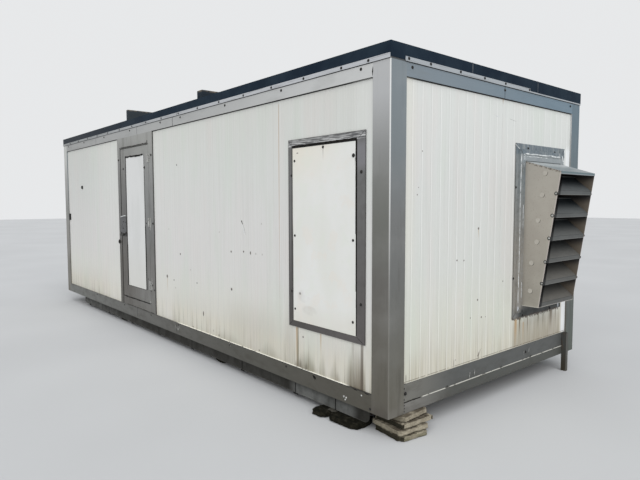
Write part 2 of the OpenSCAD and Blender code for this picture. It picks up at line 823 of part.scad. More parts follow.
module door_frame() {
    lock_stile = leaf_left - leaf_gap - door_left;
    color("#7f7e79") place() translate([0, 0, rail_top]) {
        translate([door_left, 0, 0]) cube([lock_stile, rail_d, wall_h]);
        translate([door_right - hinge_stile, 0, 0]) cube([hinge_stile, rail_d, wall_h]);
    }
}
module door_head() {
    z = leaf_top + leaf_gap;
    color("#8a8984") place() translate([leaf_left - leaf_gap, 0, z]) {
        cube([leaf_w + 2 * leaf_gap, cover_t, wall_top - z]);
        translate([0, -drip_d, 0]) cube([leaf_w + 2 * leaf_gap, drip_d, steel_t / 2]);
    }
}
module door_threshold() {
    color("#7a7974") place() translate([leaf_left - leaf_gap, 0, rail_top])
        cube([leaf_w + 2 * leaf_gap, rail_d, leaf_foot - leaf_gap - rail_top]);
}
module door_stops() {
    y = leaf_t + leaf_gap;
    d = rail_d - y;
    low = leaf_foot - leaf_gap;
    high = leaf_top + leaf_gap;
    inner = leaf_w + 2 * leaf_gap;
    color("#6f6e6a") place() translate([leaf_left - leaf_gap, y, low]) {
        cube([stop_w, d, high - low]);
        translate([inner - stop_w, 0, 0]) cube([stop_w, d, high - low]);
        translate([stop_w + fit, 0, 0]) cube([inner - 2 * stop_w - 2 * fit, d, stop_w]);
        translate([stop_w + fit, 0, high - low - stop_w])
            cube([inner - 2 * stop_w - 2 * fit, d, stop_w]);
    }
}
module hinge_pins() {
    color("#6b6a66") place() for (z = hinge_heights) translate([hinge_x, hinge_y, z]) {
        translate([0, 0, -hinge_h / 2]) linear_extrude(hinge_h / 2 - fit)
            mirror([1, 0, 0]) hinge_half();
        translate([0, 0, -hinge_h / 2]) linear_extrude(hinge_h) mirror([1, 0, 0]) hinge_tail();
        translate([0, 0, -hinge_h / 2]) cylinder(h = hinge_h - plate_t, r = pin_r);
    }
}

module door_leaf() {
    color("#807f7a") place() difference() {
        translate([leaf_left, 0, leaf_foot]) cube([leaf_w, leaf_t, leaf_h]);
        translate([leaf_left + lock_member, -1, leaf_foot + foot_member])
            cube([leaf_w - lock_member - hinge_member, leaf_t + 2,
                leaf_h - foot_member - top_member]);
    }
}
module door_panel() {
    color("#dfe0da") place() translate([leaf_left + lock_member + fit, leaf_panel_in,
        leaf_foot + foot_member + fit])
        cube([leaf_w - lock_member - hinge_member - 2 * fit, leaf_panel_t,
            leaf_h - foot_member - top_member - 2 * fit]);
}
module hinge_leaves() {
    color("#75746f") place() for (z = hinge_heights) translate([hinge_x, hinge_y, z])
        difference() {
            union() {
                linear_extrude(hinge_h / 2) hinge_half();
                translate([0, 0, -hinge_h / 2]) linear_extrude(hinge_h) hinge_tail();
            }
            translate([0, 0, -1]) cylinder(h = hinge_h / 2 + 2, r = pin_r + pin_fit);
        }
}
module door_handle() {
    z = frame_z + lock_z;
    spindle_x = leaf_left + lever_in;
    color("#75767a") place() {
        translate([leaf_left, -lock_t, z]) cube([lock_w, lock_t, lock_h]);
        translate([leaf_left - lock_lap, -lock_t, z]) cube([lock_lap, lock_t - lap_gap, lock_h]);
        translate([spindle_x, -lock_t, z + lever_up]) rotate([90, 0, 0]) {
            cylinder(h = rose_t, r = rose_r);
            cylinder(h = lever_off - lock_t, r = lever_r);
        }
        translate([spindle_x, -lever_off, z + lever_up]) {
            sphere(lever_r);
            rotate([0, 90, 0]) cylinder(h = lever_l - lever_r, r = lever_r);
            translate([lever_l - lever_r, 0, 0]) sphere(lever_r);
        }
    }
}

module wall_vent() {
    color("#2c2c2a") place() translate([vent_x, wall_recess, frame_z + vent_z])
        rotate([90, 0, 0]) cylinder(h = vent_out, r = vent_r);
}
module cable_inlet() {
    color("#1f1f1e") place() translate([post_w + inlet_gap, wall_recess - inlet_out, frame_z + inlet_z]) cube([inlet_w, inlet_out, inlet_h]);
}

stack_front_right();
stack_front_left();
stack_back_left();
skid_packers();
back_right_leg();
front_skid();
back_skid();
front_bottom_rail();
back_bottom_rail();
left_bottom_rail();
right_bottom_rail();
floor_joists();
floor_deck();
post_front_right();
post_front_left();
post_back_right();
post_back_left();
front_top_rail();
back_top_rail();
left_top_rail();
right_top_rail();
ceiling_board();
roof_deck();
roof_sheet();
roof_strips();
roof_beams();
front_wall_left();
front_wall_middle();
window_wall();
back_wall();
left_wall();
right_wall();
cowl_wall();
window_frame();
window_board();
cowl_flange();
cowl_hood();
cowl_blades();
door_frame();
door_head();
door_threshold();
door_stops();
hinge_pins();
door_leaf();
door_panel();
hinge_leaves();
door_handle();
wall_vent();
cable_inlet();
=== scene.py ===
# Portable site cabin on slab stacks: steel frame, grooved sandwich walls, a door, a blanked
# window and a louvred cowl. Lengths are metres; x runs to the cowl end, y to the back, z up.
import math

import bmesh
import bpy
from mathutils import Matrix, Quaternion, Vector, noise


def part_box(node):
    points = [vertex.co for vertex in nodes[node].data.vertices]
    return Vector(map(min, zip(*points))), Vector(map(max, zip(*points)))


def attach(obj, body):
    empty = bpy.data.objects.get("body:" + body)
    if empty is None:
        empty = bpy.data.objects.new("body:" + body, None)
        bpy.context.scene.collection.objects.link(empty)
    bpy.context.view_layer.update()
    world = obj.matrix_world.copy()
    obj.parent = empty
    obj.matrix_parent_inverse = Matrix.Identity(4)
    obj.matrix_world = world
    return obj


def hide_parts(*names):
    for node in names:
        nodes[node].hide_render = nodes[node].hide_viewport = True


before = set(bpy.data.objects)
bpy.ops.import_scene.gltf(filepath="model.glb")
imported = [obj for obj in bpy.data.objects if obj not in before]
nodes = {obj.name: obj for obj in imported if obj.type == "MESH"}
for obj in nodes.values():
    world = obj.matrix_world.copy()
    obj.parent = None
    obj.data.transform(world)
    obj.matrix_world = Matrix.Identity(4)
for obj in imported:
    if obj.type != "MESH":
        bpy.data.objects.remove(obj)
bpy.context.scene.view_settings.view_transform = "Standard"
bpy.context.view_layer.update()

# Camera: at eye height off the near corner, looking along the door side and across the cowl end.
# Its place and lens follow from the straight edges of those two faces.
camera_data = bpy.data.cameras.new("camera")
camera_data.sensor_width = 36
camera_data.lens = 30.473
camera = bpy.data.objects.new("camera", camera_data)
heading = math.radians(139.5005)
tilt = math.radians(-3.9623)
gaze = Vector((math.cos(heading) * math.cos(tilt), math.sin(heading) * math.cos(tilt), math.sin(tilt)))
level = gaze.to_track_quat("-Z", "Y")
camera.location = (6.48038, -4.43169, 1.79688)
camera.rotation_euler = (level @ Quaternion((0, 0, 1), math.radians(-0.091))).to_euler()
bpy.context.scene.collection.objects.link(camera)
bpy.context.scene.camera = camera


# Studio: a plain pale floor, an even pale surround and one broad soft lamp high on the camera's
# side. The surround is brighter to the camera and to reflections than it is as a light.
class Wire:
    """One value of a material: arithmetic on it adds Math nodes, and node() adds any other.
    A colour is three numbers, or one for a grey."""

    def __init__(self, tree, socket):
        self.tree = tree
        self.socket = socket

    def node(self, kind, inputs=(), output=0, stops=(), **settings):
        made = self.tree.nodes.new("ShaderNode" + kind)
        for setting, value in settings.items():
            setattr(made, setting, value)
        if stops:
            ends = made.color_ramp.elements
            ends[0].position, ends[0].color = stops[0]
            ends[-1].position, ends[-1].color = stops[-1]
            for place, shade in stops[1:-1]:
                ends.new(place).color = shade
        for name, value in dict(inputs).items():
            socket = made.inputs[name]
            if isinstance(value, Wire):
                self.tree.links.new(value.socket, socket)
            elif socket.type == "RGBA":
                shade = value if isinstance(value, tuple) else (value,) * 3
                socket.default_value = (*shade, 1.0)
            else:
                socket.default_value = value
        return Wire(self.tree, made.outputs[output])

    def math(self, operation, *others):
        return self.node("Math", enumerate((self, *others)), operation=operation)

    def __add__(self, other):
        return self.math("ADD", other)

    def __mul__(self, other):
        return self.math("MULTIPLY", other)

    def __sub__(self, other):
        return self.math("SUBTRACT", other)

    def __rsub__(self, other):
        return self.node("Math", ((0, other), (1, self)), operation="SUBTRACT")

    def __truediv__(self, other):
        return self.math("DIVIDE", other)

    def rise(self, low, high, start=0.0, end=1.0):
        """Eases from start to end while this value goes from low to high."""
        span = {"Value": self, "From Min": low, "From Max": high, "To Min": start, "To Max": end}
        return self.node("MapRange", span, interpolation_type="SMOOTHSTEP")

    def band(self, low, high, soft=0.001):
        """1 while this value lies between low and high, with soft edges."""
        return self.rise(low - soft, low + soft) * self.rise(high + soft, high - soft)

    def over(self, under, top):
        """The colour top where this mask is 1, on the colour under."""
        return self.node("Mix", {0: self, 6: under, 7: top}, output=2, data_type="RGBA")

    def coat(self, *layers):
        """This colour with layers on it in order, each a mask and the layer's colour."""
        colour = self
        for mask, top in layers:
            colour = mask.over(colour, top)
        return colour

    def ramp(self, *stops):
        """A colour that runs through stops, each a value from 0 to 1 and a colour's three."""
        return self.node("ValToRGB", {"Fac": self}, stops=[(at, (*shade, 1.0)) for at, *shade in stops])


world = bpy.data.worlds.new("surround")
bpy.context.scene.world = world
world.use_nodes = True
background = world.node_tree.nodes["Background"]
path = Wire(world.node_tree, world.node_tree.nodes.new("ShaderNodeLightPath").outputs["Is Camera Ray"])
seen = path
for ray in ("Is Glossy Ray", "Is Transmission Ray"):
    seen = seen.math("MAXIMUM", Wire(world.node_tree, path.socket.node.outputs[ray]))
surround = seen.over((0.61, 0.63, 0.65), (0.8, 0.81, 0.82))
world.node_tree.links.new(surround.socket, background.inputs["Color"])
lamp_data = bpy.data.lights.new("broad_lamp", "SUN")
lamp_data.energy = 2.45
lamp_data.angle = math.radians(70)
lamp = bpy.data.objects.new("broad_lamp", lamp_data)
lamp.rotation_euler = Vector((-1.45, 1.16, -1.6)).to_track_quat("-Z", "Y").to_euler()
bpy.context.scene.collection.objects.link(lamp)


def start_material(name):
    """A new material, and the place on the piece as its first value."""
    material = bpy.data.materials.new(name)
    material.use_nodes = True
    tree = material.node_tree
    return material, Wire(tree, tree.nodes.new("ShaderNodeTexCoord").outputs["Object"])


def set_finish(material, colour, roughness=0.5, metallic=0.0, height=None, depth=0.001, specular=0.5):
    """Feeds the material's shader; height is a relief that depth scales, in metres."""
    tree = material.node_tree
    shader = tree.nodes["Principled BSDF"]
    shader.inputs["Specular IOR Level"].default_value = specular
    for name, value in (("Base Color", colour), ("Roughness", roughness), ("Metallic", metallic)):
        if isinstance(value, Wire):
            tree.links.new(value.socket, shader.inputs[name])
        else:
            shader.inputs[name].default_value = value
    if height is not None:
        relief = height.node("Bump", {"Height": height, "Distance": depth})
        tree.links.new(relief.socket, shader.inputs["Normal"])


def grain(place, size, detail, stretch=(1, 1, 1)):
    """Noise from 0 to 1 in patches of that size, made longer along an axis by stretch."""
    scale = tuple(1.0 / (size * length) for length in stretch)
    spot = place.node("VectorMath", {0: place, 1: scale}, operation="MULTIPLY")
    return spot.node("TexNoise", {"Vector": spot, "Scale": 1.0, "Detail": detail, "Roughness": 0.6})


def link_mesh(name, bm, material, smooth=None):
    """Makes an object of a bmesh; smooth is the sharpest angle that is shaded round."""
    mesh = bpy.data.meshes.new(name)
    bm.to_mesh(mesh)
    bm.free()
    mesh.materials.append(material)
    if smooth is not None:
        mesh.polygons.foreach_set("use_smooth", [True] * len(mesh.polygons))
        mesh.set_sharp_from_angle(angle=math.radians(smooth))
    made = bpy.data.objects.new(name, mesh)
    bpy.context.scene.collection.objects.link(made)
    return made


def mottled(name, size, detail, edges, dark, pale, roughness, **finish):
    """A material of two shades in patches of that size; edges say where one gives way to the other."""
    material, place = start_material(name)
    patches = grain(place, size, detail).rise(*edges)
    set_finish(material, patches.over(dark, pale), roughness, **finish)
    return material


floor_paint = mottled("pale_floor", 3.0, 2, (0.3, 0.7), (0.5, 0.505, 0.51), (0.53, 0.535, 0.54), 0.9,
                      specular=0.2)
bm = bmesh.new()
bmesh.ops.create_grid(bm, x_segments=1, y_segments=1, size=60)
link_mesh("floor", bm, floor_paint)


# Corner stacks: loose slabs of cast concrete laid by hand, several to a stack and none quite square.
# Their arrises are broken and the tops hold dirt. The faces on the door side are painted near-black,
# partly for moss and partly as painted shade.
def split_axes(place):
    """The x, y and z of a place as three values."""
    axes = place.node("SeparateXYZ", {"Vector": place})
    return [Wire(place.tree, socket) for socket in axes.socket.node.outputs]


def facing(place, axis):
    """How far the surface faces along an axis, from -1 to 1."""
    normal = place.node("NewGeometry", output=1)
    return split_axes(normal)["xyz".index(axis)]


def add_piece(name, bm, material, body="root", stands_for=(), smooth=None):
    """Adds a finished bmesh to the cabin: its body and the nodes it stands for."""
    made = link_mesh(name, bm, material, smooth)
    if stands_for:
        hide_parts(*stands_for)
    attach(made, body)
    return made


def copy_node(node):
    """A bmesh of a CAD node, with its shared points merged."""
    bm = bmesh.new()
    bm.from_mesh(nodes[node].data)
    bmesh.ops.remove_doubles(bm, verts=bm.verts, dist=0.0001)
    return bm


def weather(bm, arris, cell, depth, patch, strata=0.0):
    """Wears the arrises of blocks and breaks their faces up inwards, in layers where strata is above 0."""
    bmesh.ops.dissolve_limit(bm, angle_limit=0.02, verts=bm.verts, edges=bm.edges)
    bmesh.ops.bevel(bm, geom=bm.edges[:], offset=arris, segments=2, profile=0.5, affect="EDGES", material=-1)
    bmesh.ops.triangulate(bm, faces=bm.faces)
    for _ in range(5):
        long_edges = [edge for edge in bm.edges if edge.calc_length() > cell]
        if long_edges:
            bmesh.ops.subdivide_edges(bm, edges=long_edges, cuts=1)
            bmesh.ops.triangulate(bm, faces=bm.faces)
    bm.normal_update()
    moves = []
    for vert in bm.verts:
        rough = noise.fractal(vert.co / patch, 0.9, 2.0, 4) * 0.5 + 0.5
        rough += strata * noise.noise(Vector((vert.co.x * 3, vert.co.y * 3, vert.co.z * 90)))
        moves.append((vert, vert.normal * (depth * min(max(rough, 0.0), 1.0))))
    for vert, move in moves:
        vert.co -= move
        vert.co.z = max(vert.co.z, 0.0)


concrete, place = start_material("weathered_concrete")
z = split_axes(place)[2]
sand = grain(place, 0.012, 4)
strata = grain(place, 0.006, 3, (12, 12, 1))
blotch = grain(place, 0.11, 3)
colour = blotch.rise(0.3, 0.7).over((0.23, 0.202, 0.15), (0.335, 0.3, 0.228))
joint = z.band(0.0415, 0.045, 0.0015) + z.band(0.0865, 0.09, 0.0015) + z.band(0.1315, 0.135, 0.0015)
dirt = facing(place, "z").rise(0.4, 0.8) * blotch.rise(0.62, 0.42)
# Faces turned to the door side are darkened partly as moss and partly as painted shade.
moss_and_shade = facing(place, "y").rise(-0.35, -0.75) * grain(place, 0.05, 3).rise(0.15, 0.4, 0.75, 1.0)
bare = 1.0 - z.band(0.047, 0.086, 0.004) * 0.75
low = z.rise(0.06, 0.0) * blotch.rise(0.3, 0.6) * (1.0 - moss_and_shade)
colour = colour.coat(
    (sand.rise(0.45, 0.7) * 0.5, (0.42, 0.38, 0.3)),
    (strata.rise(0.54, 0.6) * 0.35, (0.11, 0.092, 0.064)),
    (joint * 0.85, (0.012, 0.01, 0.007)),
    (dirt * 0.8, (0.052, 0.04, 0.028)),
    (moss_and_shade * bare * z.rise(0.15, 0.13, 0.55, 0.96), (0.01, 0.009, 0.004)),
    (low * 0.7, (0.06, 0.062, 0.024)))
set_finish(concrete, colour, 0.95, height=sand, depth=0.004, specular=0.2)
for corner in ("front_right", "front_left", "back_left"):
    bm = copy_node("stack_" + corner)
    if corner == "front_right":
        weather(bm, 0.006, 0.014, 0.009, 0.03, 0.25)
    else:
        weather(bm, 0.007, 0.035, 0.007, 0.05)
    add_piece("slabs_" + corner, bm, concrete, stands_for=["stack_" + corner], smooth=40)

# Packing under the skids: rough stones and rubble wedged in below the channels, almost black with
# wet moss. Two of them show in front of the near corner, and a pale flat chip lies at a joint.
moss_stone, place = start_material("mossy_stone")
lumps = grain(place, 0.04, 4)
colour = lumps.rise(0.35, 0.7).over((0.005, 0.005, 0.003), (0.02, 0.018, 0.012))
colour = (facing(place, "z").rise(0.4, 0.9) * lumps.rise(0.5, 0.7) * 0.6).over(colour, (0.036, 0.034, 0.025))
set_finish(moss_stone, colour, 0.95, height=lumps, depth=0.02, specular=0.1)
bm = copy_node("skid_packers")
weather(bm, 0.01, 0.022, 0.011, 0.05, 0.5)
add_piece("packing_stones", bm, moss_stone, stands_for=["skid_packers"], smooth=60)
chip_stone = mottled("chip_of_stone", 0.01, 3, (0.4, 0.65), (0.045, 0.042, 0.034), (0.1, 0.095, 0.08), 0.95,
                     specular=0.2)
bm = bmesh.new()
at = Matrix.Translation((3.158, -1.452, 0.0455))
at = at @ Matrix.Rotation(0.15, 4, "Z") @ Matrix.Rotation(0.08, 4, "Y")
bmesh.ops.create_cube(bm, size=1.0, matrix=at @ Matrix.Diagonal((0.085, 0.048, 0.016, 1.0)))
weather(bm, 0.004, 0.018, 0.004, 0.02)
add_piece("stone_chip", bm, chip_stone, smooth=40)


# Skids: folded channels under the long rails, in lengths with open joints and a cleat behind each.
# Their old grey paint is dull and rubbed pale in places. The rubbing fades out towards the top as
# painted shade under the rail, the bottom arris is lightened as a painted highlight, and all behind
# the web's face, floor joists too, is painted near-black as painted shade.
def dress(material, *names):
    """Gives CAD nodes that material."""
    for name in names:
        for slot in nodes[name].material_slots:
            slot.material = material


skid_paint, place = start_material("skid_paint")
x, y, z = split_axes(place)
stain = grain(place, 0.1, 4, (1, 1, 1.5))
colour = stain.rise(0.35, 0.7).over((0.031, 0.03, 0.026), (0.021, 0.02, 0.017))
# Worn pale patches, faded out towards the top as painted shade under the rail's overhang.
wear_and_shade = x.band(3.22, 3.4, 0.07) + x.band(2.6, 3.2, 0.1) * 0.8 + x.rise(-1.0, -3.0) * 0.5
wear_and_shade = wear_and_shade * stain.rise(0.75, 0.35, 0.4, 1.0) * z.rise(0.175, 0.1, 0.35, 1.0)
# Everything behind the web's face, the channel's inside and the floor joists, is painted near-black as
# painted shade.
painted_shade_behind = y.math("ABSOLUTE").rise(1.4375, 1.436)
colour = colour.coat(
    (wear_and_shade, (0.15, 0.153, 0.146)),
    # A pale line along the bottom arris is a painted highlight.
    (z.band(0.054, 0.06, 0.002) * 0.4, (0.12, 0.118, 0.105)),
    (painted_shade_behind, 0.005))
set_finish(skid_paint, colour, stain.rise(0.3, 0.7, 0.6, 0.8), specular=0.2)
dress(skid_paint, "front_skid", "back_skid", "floor_joists")

# Steel leg: a short length of channel stood on the ground at the back of the cowl end and welded
# to the end rail. Its paint is scuffed to brown and its front arris is rubbed pale.
leg_paint, place = start_material("leg_paint")
x, _, z = split_axes(place)
leg_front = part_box("back_right_leg")[1].x
scuff = grain(place, 0.03, 3, (1, 1, 2.5))
colour = z.rise(0.0, 0.35).over((0.036, 0.03, 0.02), (0.058, 0.06, 0.056)).coat(
    (scuff.rise(0.5, 0.65) * 0.6, (0.066, 0.048, 0.033)),
    (x.band(leg_front - 0.004, leg_front + 0.001, 0.001) * 0.5, (0.09, 0.09, 0.082)))
set_finish(leg_paint, colour, 0.6, specular=0.3)
dress(leg_paint, "back_right_leg")

# Steel frame: corner posts and rails folded from sheet, sprayed one semi-gloss grey. Its grey is
# graded face by face, by height and along the length as painted light and shade, with pale chalky
# patches, and streaks of road film darken the lower steel.
post_low, post_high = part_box("post_front_right")


def on_side(back, up, out=0.0):
    """A point on the door side: left of the cowl end, up from the frame's foot, out from the frame."""
    return Vector((post_high.x - back, post_low.y - out, post_low.z + up))


def on_end(across, up, out=0.0):
    """A point on the cowl end: across from the door side, up from the frame's foot, out."""
    return Vector((post_high.x + out, post_low.y + across, post_low.z + up))


def long_faces(place):
    """A mask of the faces that look along y, as both long sides do."""
    return facing(place, "y").math("ABSOLUTE").rise(0.45, 0.8)


post_height = 2.8
strip_foot = post_low.z + 2.64
steel_paint, place = start_material("frame_paint")
x, y, z = split_axes(place)
height = (z - post_low.z) / post_height
film = grain(place, 0.05, 3, (1, 1, 9))
cloud = grain(place, 0.35, 3)
long_face = long_faces(place)
# These height ramps, set apart for the long sides and the ends and for the near and far posts, are painted
# light and shade.
near_side_shading = height.ramp(
    (0.0, 0.062, 0.054, 0.042), (0.05, 0.086, 0.078, 0.06), (0.18, 0.104, 0.097, 0.08),
    (0.36, 0.112, 0.107, 0.096), (0.54, 0.134, 0.136, 0.121), (0.64, 0.174, 0.175, 0.164),
    (0.73, 0.25, 0.252, 0.247), (0.86, 0.412, 0.415, 0.418), (1.0, 0.45, 0.452, 0.45))
far_side_shading = height.ramp(
    (0.0, 0.09, 0.082, 0.065), (0.06, 0.12, 0.112, 0.09), (0.2, 0.15, 0.142, 0.122),
    (0.36, 0.19, 0.182, 0.165), (0.54, 0.195, 0.198, 0.185), (0.72, 0.29, 0.29, 0.28),
    (0.86, 0.44, 0.445, 0.425), (1.0, 0.445, 0.45, 0.43))
near_end_shading = height.ramp(
    (0.0, 0.13, 0.122, 0.105), (0.03, 0.1, 0.093, 0.073), (0.18, 0.108, 0.105, 0.089),
    (0.36, 0.122, 0.124, 0.118), (0.54, 0.147, 0.15, 0.148), (0.72, 0.158, 0.18, 0.19),
    (0.9, 0.176, 0.205, 0.222), (1.0, 0.17, 0.2, 0.22))
far_end_shading = height.ramp((0.0, 0.06, 0.07, 0.058), (0.4, 0.08, 0.096, 0.09), (1.0, 0.088, 0.14, 0.18))
side = x.rise(3.0, -4.0).over(near_side_shading, far_side_shading)
colour = long_face.over(y.rise(-1.0, 1.2).over(near_end_shading, far_end_shading), side)
# A pale line along the posts' outer arris is a painted highlight.
arris = (post_high.x - x).math("MAXIMUM", y - post_low.y).rise(0.01, 0.0055)
colour = colour.coat(
    (film.rise(0.55, 0.75) * z.rise(2.2, 0.3, 0.1, 0.4), (0.05, 0.045, 0.034)),
    (cloud.rise(0.45, 0.8) * 0.12, (0.4, 0.4, 0.39)),
    (arris * z.rise(0.9, 2.2, 0.05, 0.8), (0.66, 0.66, 0.65)),
    # A dark band on the posts just under the clamping strip is painted shade.
    (z.rise(strip_foot, strip_foot + 0.005) * 0.8, 0.03))
set_finish(steel_paint, colour, film.rise(0.3, 0.7, 0.34, 0.5), height=grain(place, 0.004, 1), depth=0.0002)
dress(steel_paint, "post_front_right", "post_front_left", "post_back_right", "post_back_left")

top_paint, place = start_material("top_rail_paint")
x, y, z = split_axes(place)
film = grain(place, 0.12, 3, (4, 4, 1))
long_face = long_faces(place)
# The rails' grey is set face by face and graded along the length as painted light and shade.
side = ((x + 4.2) / 8.0).ramp((0.0, 0.262, 0.264, 0.258), (0.3, 0.3, 0.302, 0.296),
                              (0.7, 0.385, 0.388, 0.38), (0.88, 0.49, 0.494, 0.486),
                              (1.0, 0.53, 0.534, 0.524))
colour = long_face.over(y.rise(-1.4, 1.3).over((0.176, 0.212, 0.24), (0.118, 0.178, 0.226)), side).coat(
    (film.rise(0.5, 0.8) * 0.25, (0.17, 0.17, 0.16)),
    # The band above the strip's foot and the undersides are painted near-black as painted shade.
    (z.rise(strip_foot + 0.0005, strip_foot + 0.003), (0.01, 0.011, 0.013)),
    (facing(place, "z").rise(-0.4, -0.8), (0.008, 0.008, 0.009)))
set_finish(top_paint, colour, film.rise(0.3, 0.7, 0.36, 0.52))
dress(top_paint, "front_top_rail", "back_top_rail", "left_top_rail", "right_top_rail")

low_paint, place = start_material("bottom_rail_paint")
x, y, z = split_axes(place)
film = grain(place, 0.1, 4, (2.5, 2.5, 1))
dash = grain(place, 0.05, 2)
long_face = long_faces(place)
# The rails' grey is set face by face and graded along the length as painted light and shade.
side = ((x + 4.2) / 8.0).ramp((0.0, 0.125, 0.128, 0.118), (0.45, 0.1, 0.098, 0.09),
                              (0.75, 0.066, 0.064, 0.054), (1.0, 0.07, 0.064, 0.05))
upper_end = y.rise(-1.3, -0.6).over((0.15, 0.146, 0.13), (0.078, 0.081, 0.078))
lower_end = y.rise(-1.3, -0.6).over((0.17, 0.164, 0.15), (0.062, 0.064, 0.057))
lip_height = 0.264
colour = long_face.over(z.rise(lip_height, lip_height + 0.0025).over(lower_end, upper_end), side)
# Painted highlight and painted shadow: the end rail's seam lip is white where it catches the light and
# near-black elsewhere.
lip = (z - lip_height).math("ABSOLUTE").rise(0.0032, 0.0018) * (1.0 - long_face)
breaks = y.band(-0.795, -0.735, 0.004) + y.band(0.035, 0.065, 0.004) + y.band(0.56, 0.59, 0.004)
bright = y.rise(-1.13, -1.09) * dash.rise(0.34, 0.4) * (1.0 - breaks)
# A dark line under the rails' top rim is painted shade.
rim = z.rise(0.3165, 0.319) * long_face + z.rise(0.406, 0.408) * (1.0 - long_face)
# Painted light with some worn paint: the top ledges are pale on the end rail and in white dashes on the front
# rail.
ledge = facing(place, "z").rise(0.4, 0.8)
clear = x.rise(3.41, 3.34) * x.rise(0.28, 0.4, 0.25, 1.0) * y.rise(0.0, -0.5)
ledge_dust_and_light = y.rise(-1.3, -1.28).over((0.03, 0.028, 0.024), (0.44, 0.43, 0.39))
colour = colour.coat(
    (film.rise(0.48, 0.75) * 0.4, (0.046, 0.042, 0.032)),
    (lip, bright.over((0.02, 0.018, 0.014), (0.62, 0.61, 0.56))),
    (rim * 0.8, (0.03, 0.028, 0.024)),
    (ledge, (clear * dash.rise(0.32, 0.42) * 0.9).over(ledge_dust_and_light, (0.9, 0.88, 0.81))))
set_finish(low_paint, colour, film.rise(0.3, 0.7, 0.42, 0.62), specular=0.4)
dress(low_paint, "front_bottom_rail", "back_bottom_rail", "left_bottom_rail", "right_bottom_rail")


# Frame fixings: pan-head screws with washers, dark with age, along the rails, and the open butt
# seams of the rail lengths. A few washers on the bottom rail are new and bright.
def add_screw(bm, spot, outward, size):
    """A washer with a domed head, standing outward from the spot."""
    at = Matrix.Translation(spot) @ outward.to_track_quat("Z", "Y").to_matrix().to_4x4()
    bmesh.ops.create_cone(bm, cap_ends=True, segments=14, radius1=size, radius2=size * 0.92, depth=0.002,
                          matrix=at @ Matrix.Translation((0, 0, 0.001)))
    bmesh.ops.create_cone(bm, cap_ends=True, segments=10, radius1=size * 0.62, radius2=size * 0.38,
                          depth=size * 0.5, matrix=at @ Matrix.Translation((0, 0, 0.002 + size * 0.25)))


def add_bar(bm, low, high):
    """A straight bar that fills the box between two corners."""
    size = Vector(high) - Vector(low)
    middle = (Vector(high) + Vector(low)) / 2
    bmesh.ops.create_cube(bm, size=1.0, matrix=Matrix.Translation(middle) @ Matrix.Diagonal((*size, 1.0)))


def add_bead(bm, out, start, finish, width, height=0.0012, wobble=0.3):
    """An uneven low bead on a face from one point to another, narrower at both ends."""
    run = finish - start
    sideways = out.cross(run.normalized())
    count = max(2, int(run.length / 0.025))
    rings = []
    for number in range(count + 1):
        at = start + run * (number / count)
        drift = noise.noise(at * 11.0) * wobble * width
        half = width * max(0.15, 0.5 + wobble * noise.noise(at * 31.0 + out))
        if number in (0, count):
            half *= 0.4
        rings.append([bm.verts.new(at + sideways * (drift + half * u) + out * (height * v))
                      for u, v in ((-1.0, -0.3), (-0.6, 1.0), (0.6, 1.0), (1.0, -0.3))])
    for one, two in zip(rings, rings[1:]):
        for number in range(4):
            after = (number + 1) % 4
            bm.faces.new((one[number], two[number], two[after], one[after]))
    bm.faces.new(rings[0])
    bm.faces.new(rings[-1][::-1])


FRONT = Vector((0, -1, 0))
END = Vector((1, 0, 0))
OUTWARD = {on_side: FRONT, on_end: END}


def add_screws(bm, on, screws, out=0.0):
    """Adds screws to one side of the cabin: across, up and size of each."""
    for across, up, size in screws:
        add_screw(bm, on(across, up, out), OUTWARD[on], size)


def add_beads(bm, on, beads, out=0.0):
    """Adds beads to one side: across and up of both ends, then width, height and wobble of each."""
    for across, up, to_across, to_up, *form in beads:
        add_bead(bm, OUTWARD[on], on(across, up, out), on(to_across, to_up, out), *form)


dark_steel = mottled("old_screws", 0.008, 2, (0.4, 0.7), 0.008, (0.03, 0.027, 0.023), 0.6, specular=0.3)
bright_steel = mottled("bright_washers", 0.01, 2, (0.4, 0.7), (0.3, 0.3, 0.29), (0.62, 0.62, 0.6), 0.4,
                       metallic=0.2)

bm = bmesh.new()
backs = (0.3, 1.31, 2.285, 3.3, 3.85, 4.85, 5.875, 6.835, 7.7)
add_screws(bm, on_side, [(back, 2.617, 0.013) for back in backs])
add_screws(bm, on_end, [(across, 2.6125, 0.013) for across in (0.2375, 1.5075, 2.7675)])
spots = ((3.456, 0.122), (2.25, 0.115), (1.26, 0.115), (5.2, 0.12), (6.4, 0.12), (0.187, 0.028))
add_screws(bm, on_side, [(*spot, 0.011) for spot in spots])
add_screws(bm, on_end, ((0.1925, 0.155, 0.015), (1.98, 0.155, 0.014)))
add_piece("frame_screws", bm, dark_steel)
bm = bmesh.new()
add_screws(bm, on_side, (
    (0.482, 0.047, 0.01), (0.466, 0.026, 0.008), (0.455, 0.044, 0.008), (0.282, 0.11, 0.007)))
add_piece("bright_washers", bm, bright_steel)

# This near-black serves for open seams, dark joints and scratches, and also as painted shade in gaps and
# hollows.
seam_and_painted_shade = mottled("open_seam_and_painted_shade", 0.02, 2, (0.3, 0.7), 0.004, (0.02, 0.019, 0.017), 0.8, specular=0.08)
bm = bmesh.new()
rail_low = 2.542
rail_high = 2.646
for back, gap in ((3.51, 0.004), (4.6, 0.0025), (6.25, 0.0015)):
    add_bar(bm, on_side(back + gap, rail_low, -0.002), on_side(back - gap, rail_high, 0.0006))
add_bar(bm, on_end(1.505, rail_low, -0.002), on_end(1.5095, rail_high, 0.0006))
add_beads(bm, on_side, (
    (3.508, 0.02, 3.508, 0.142, 0.006, 0.0008), (0.875, 0.128, 0.835, 0.098, 0.022, 0.0008, 0.8),
    (0.835, 0.12, 0.858, 0.085, 0.012, 0.0008, 0.8), (0.179, 2.548, 0.177, 2.615, 0.007, 0.0008, 0.8)))
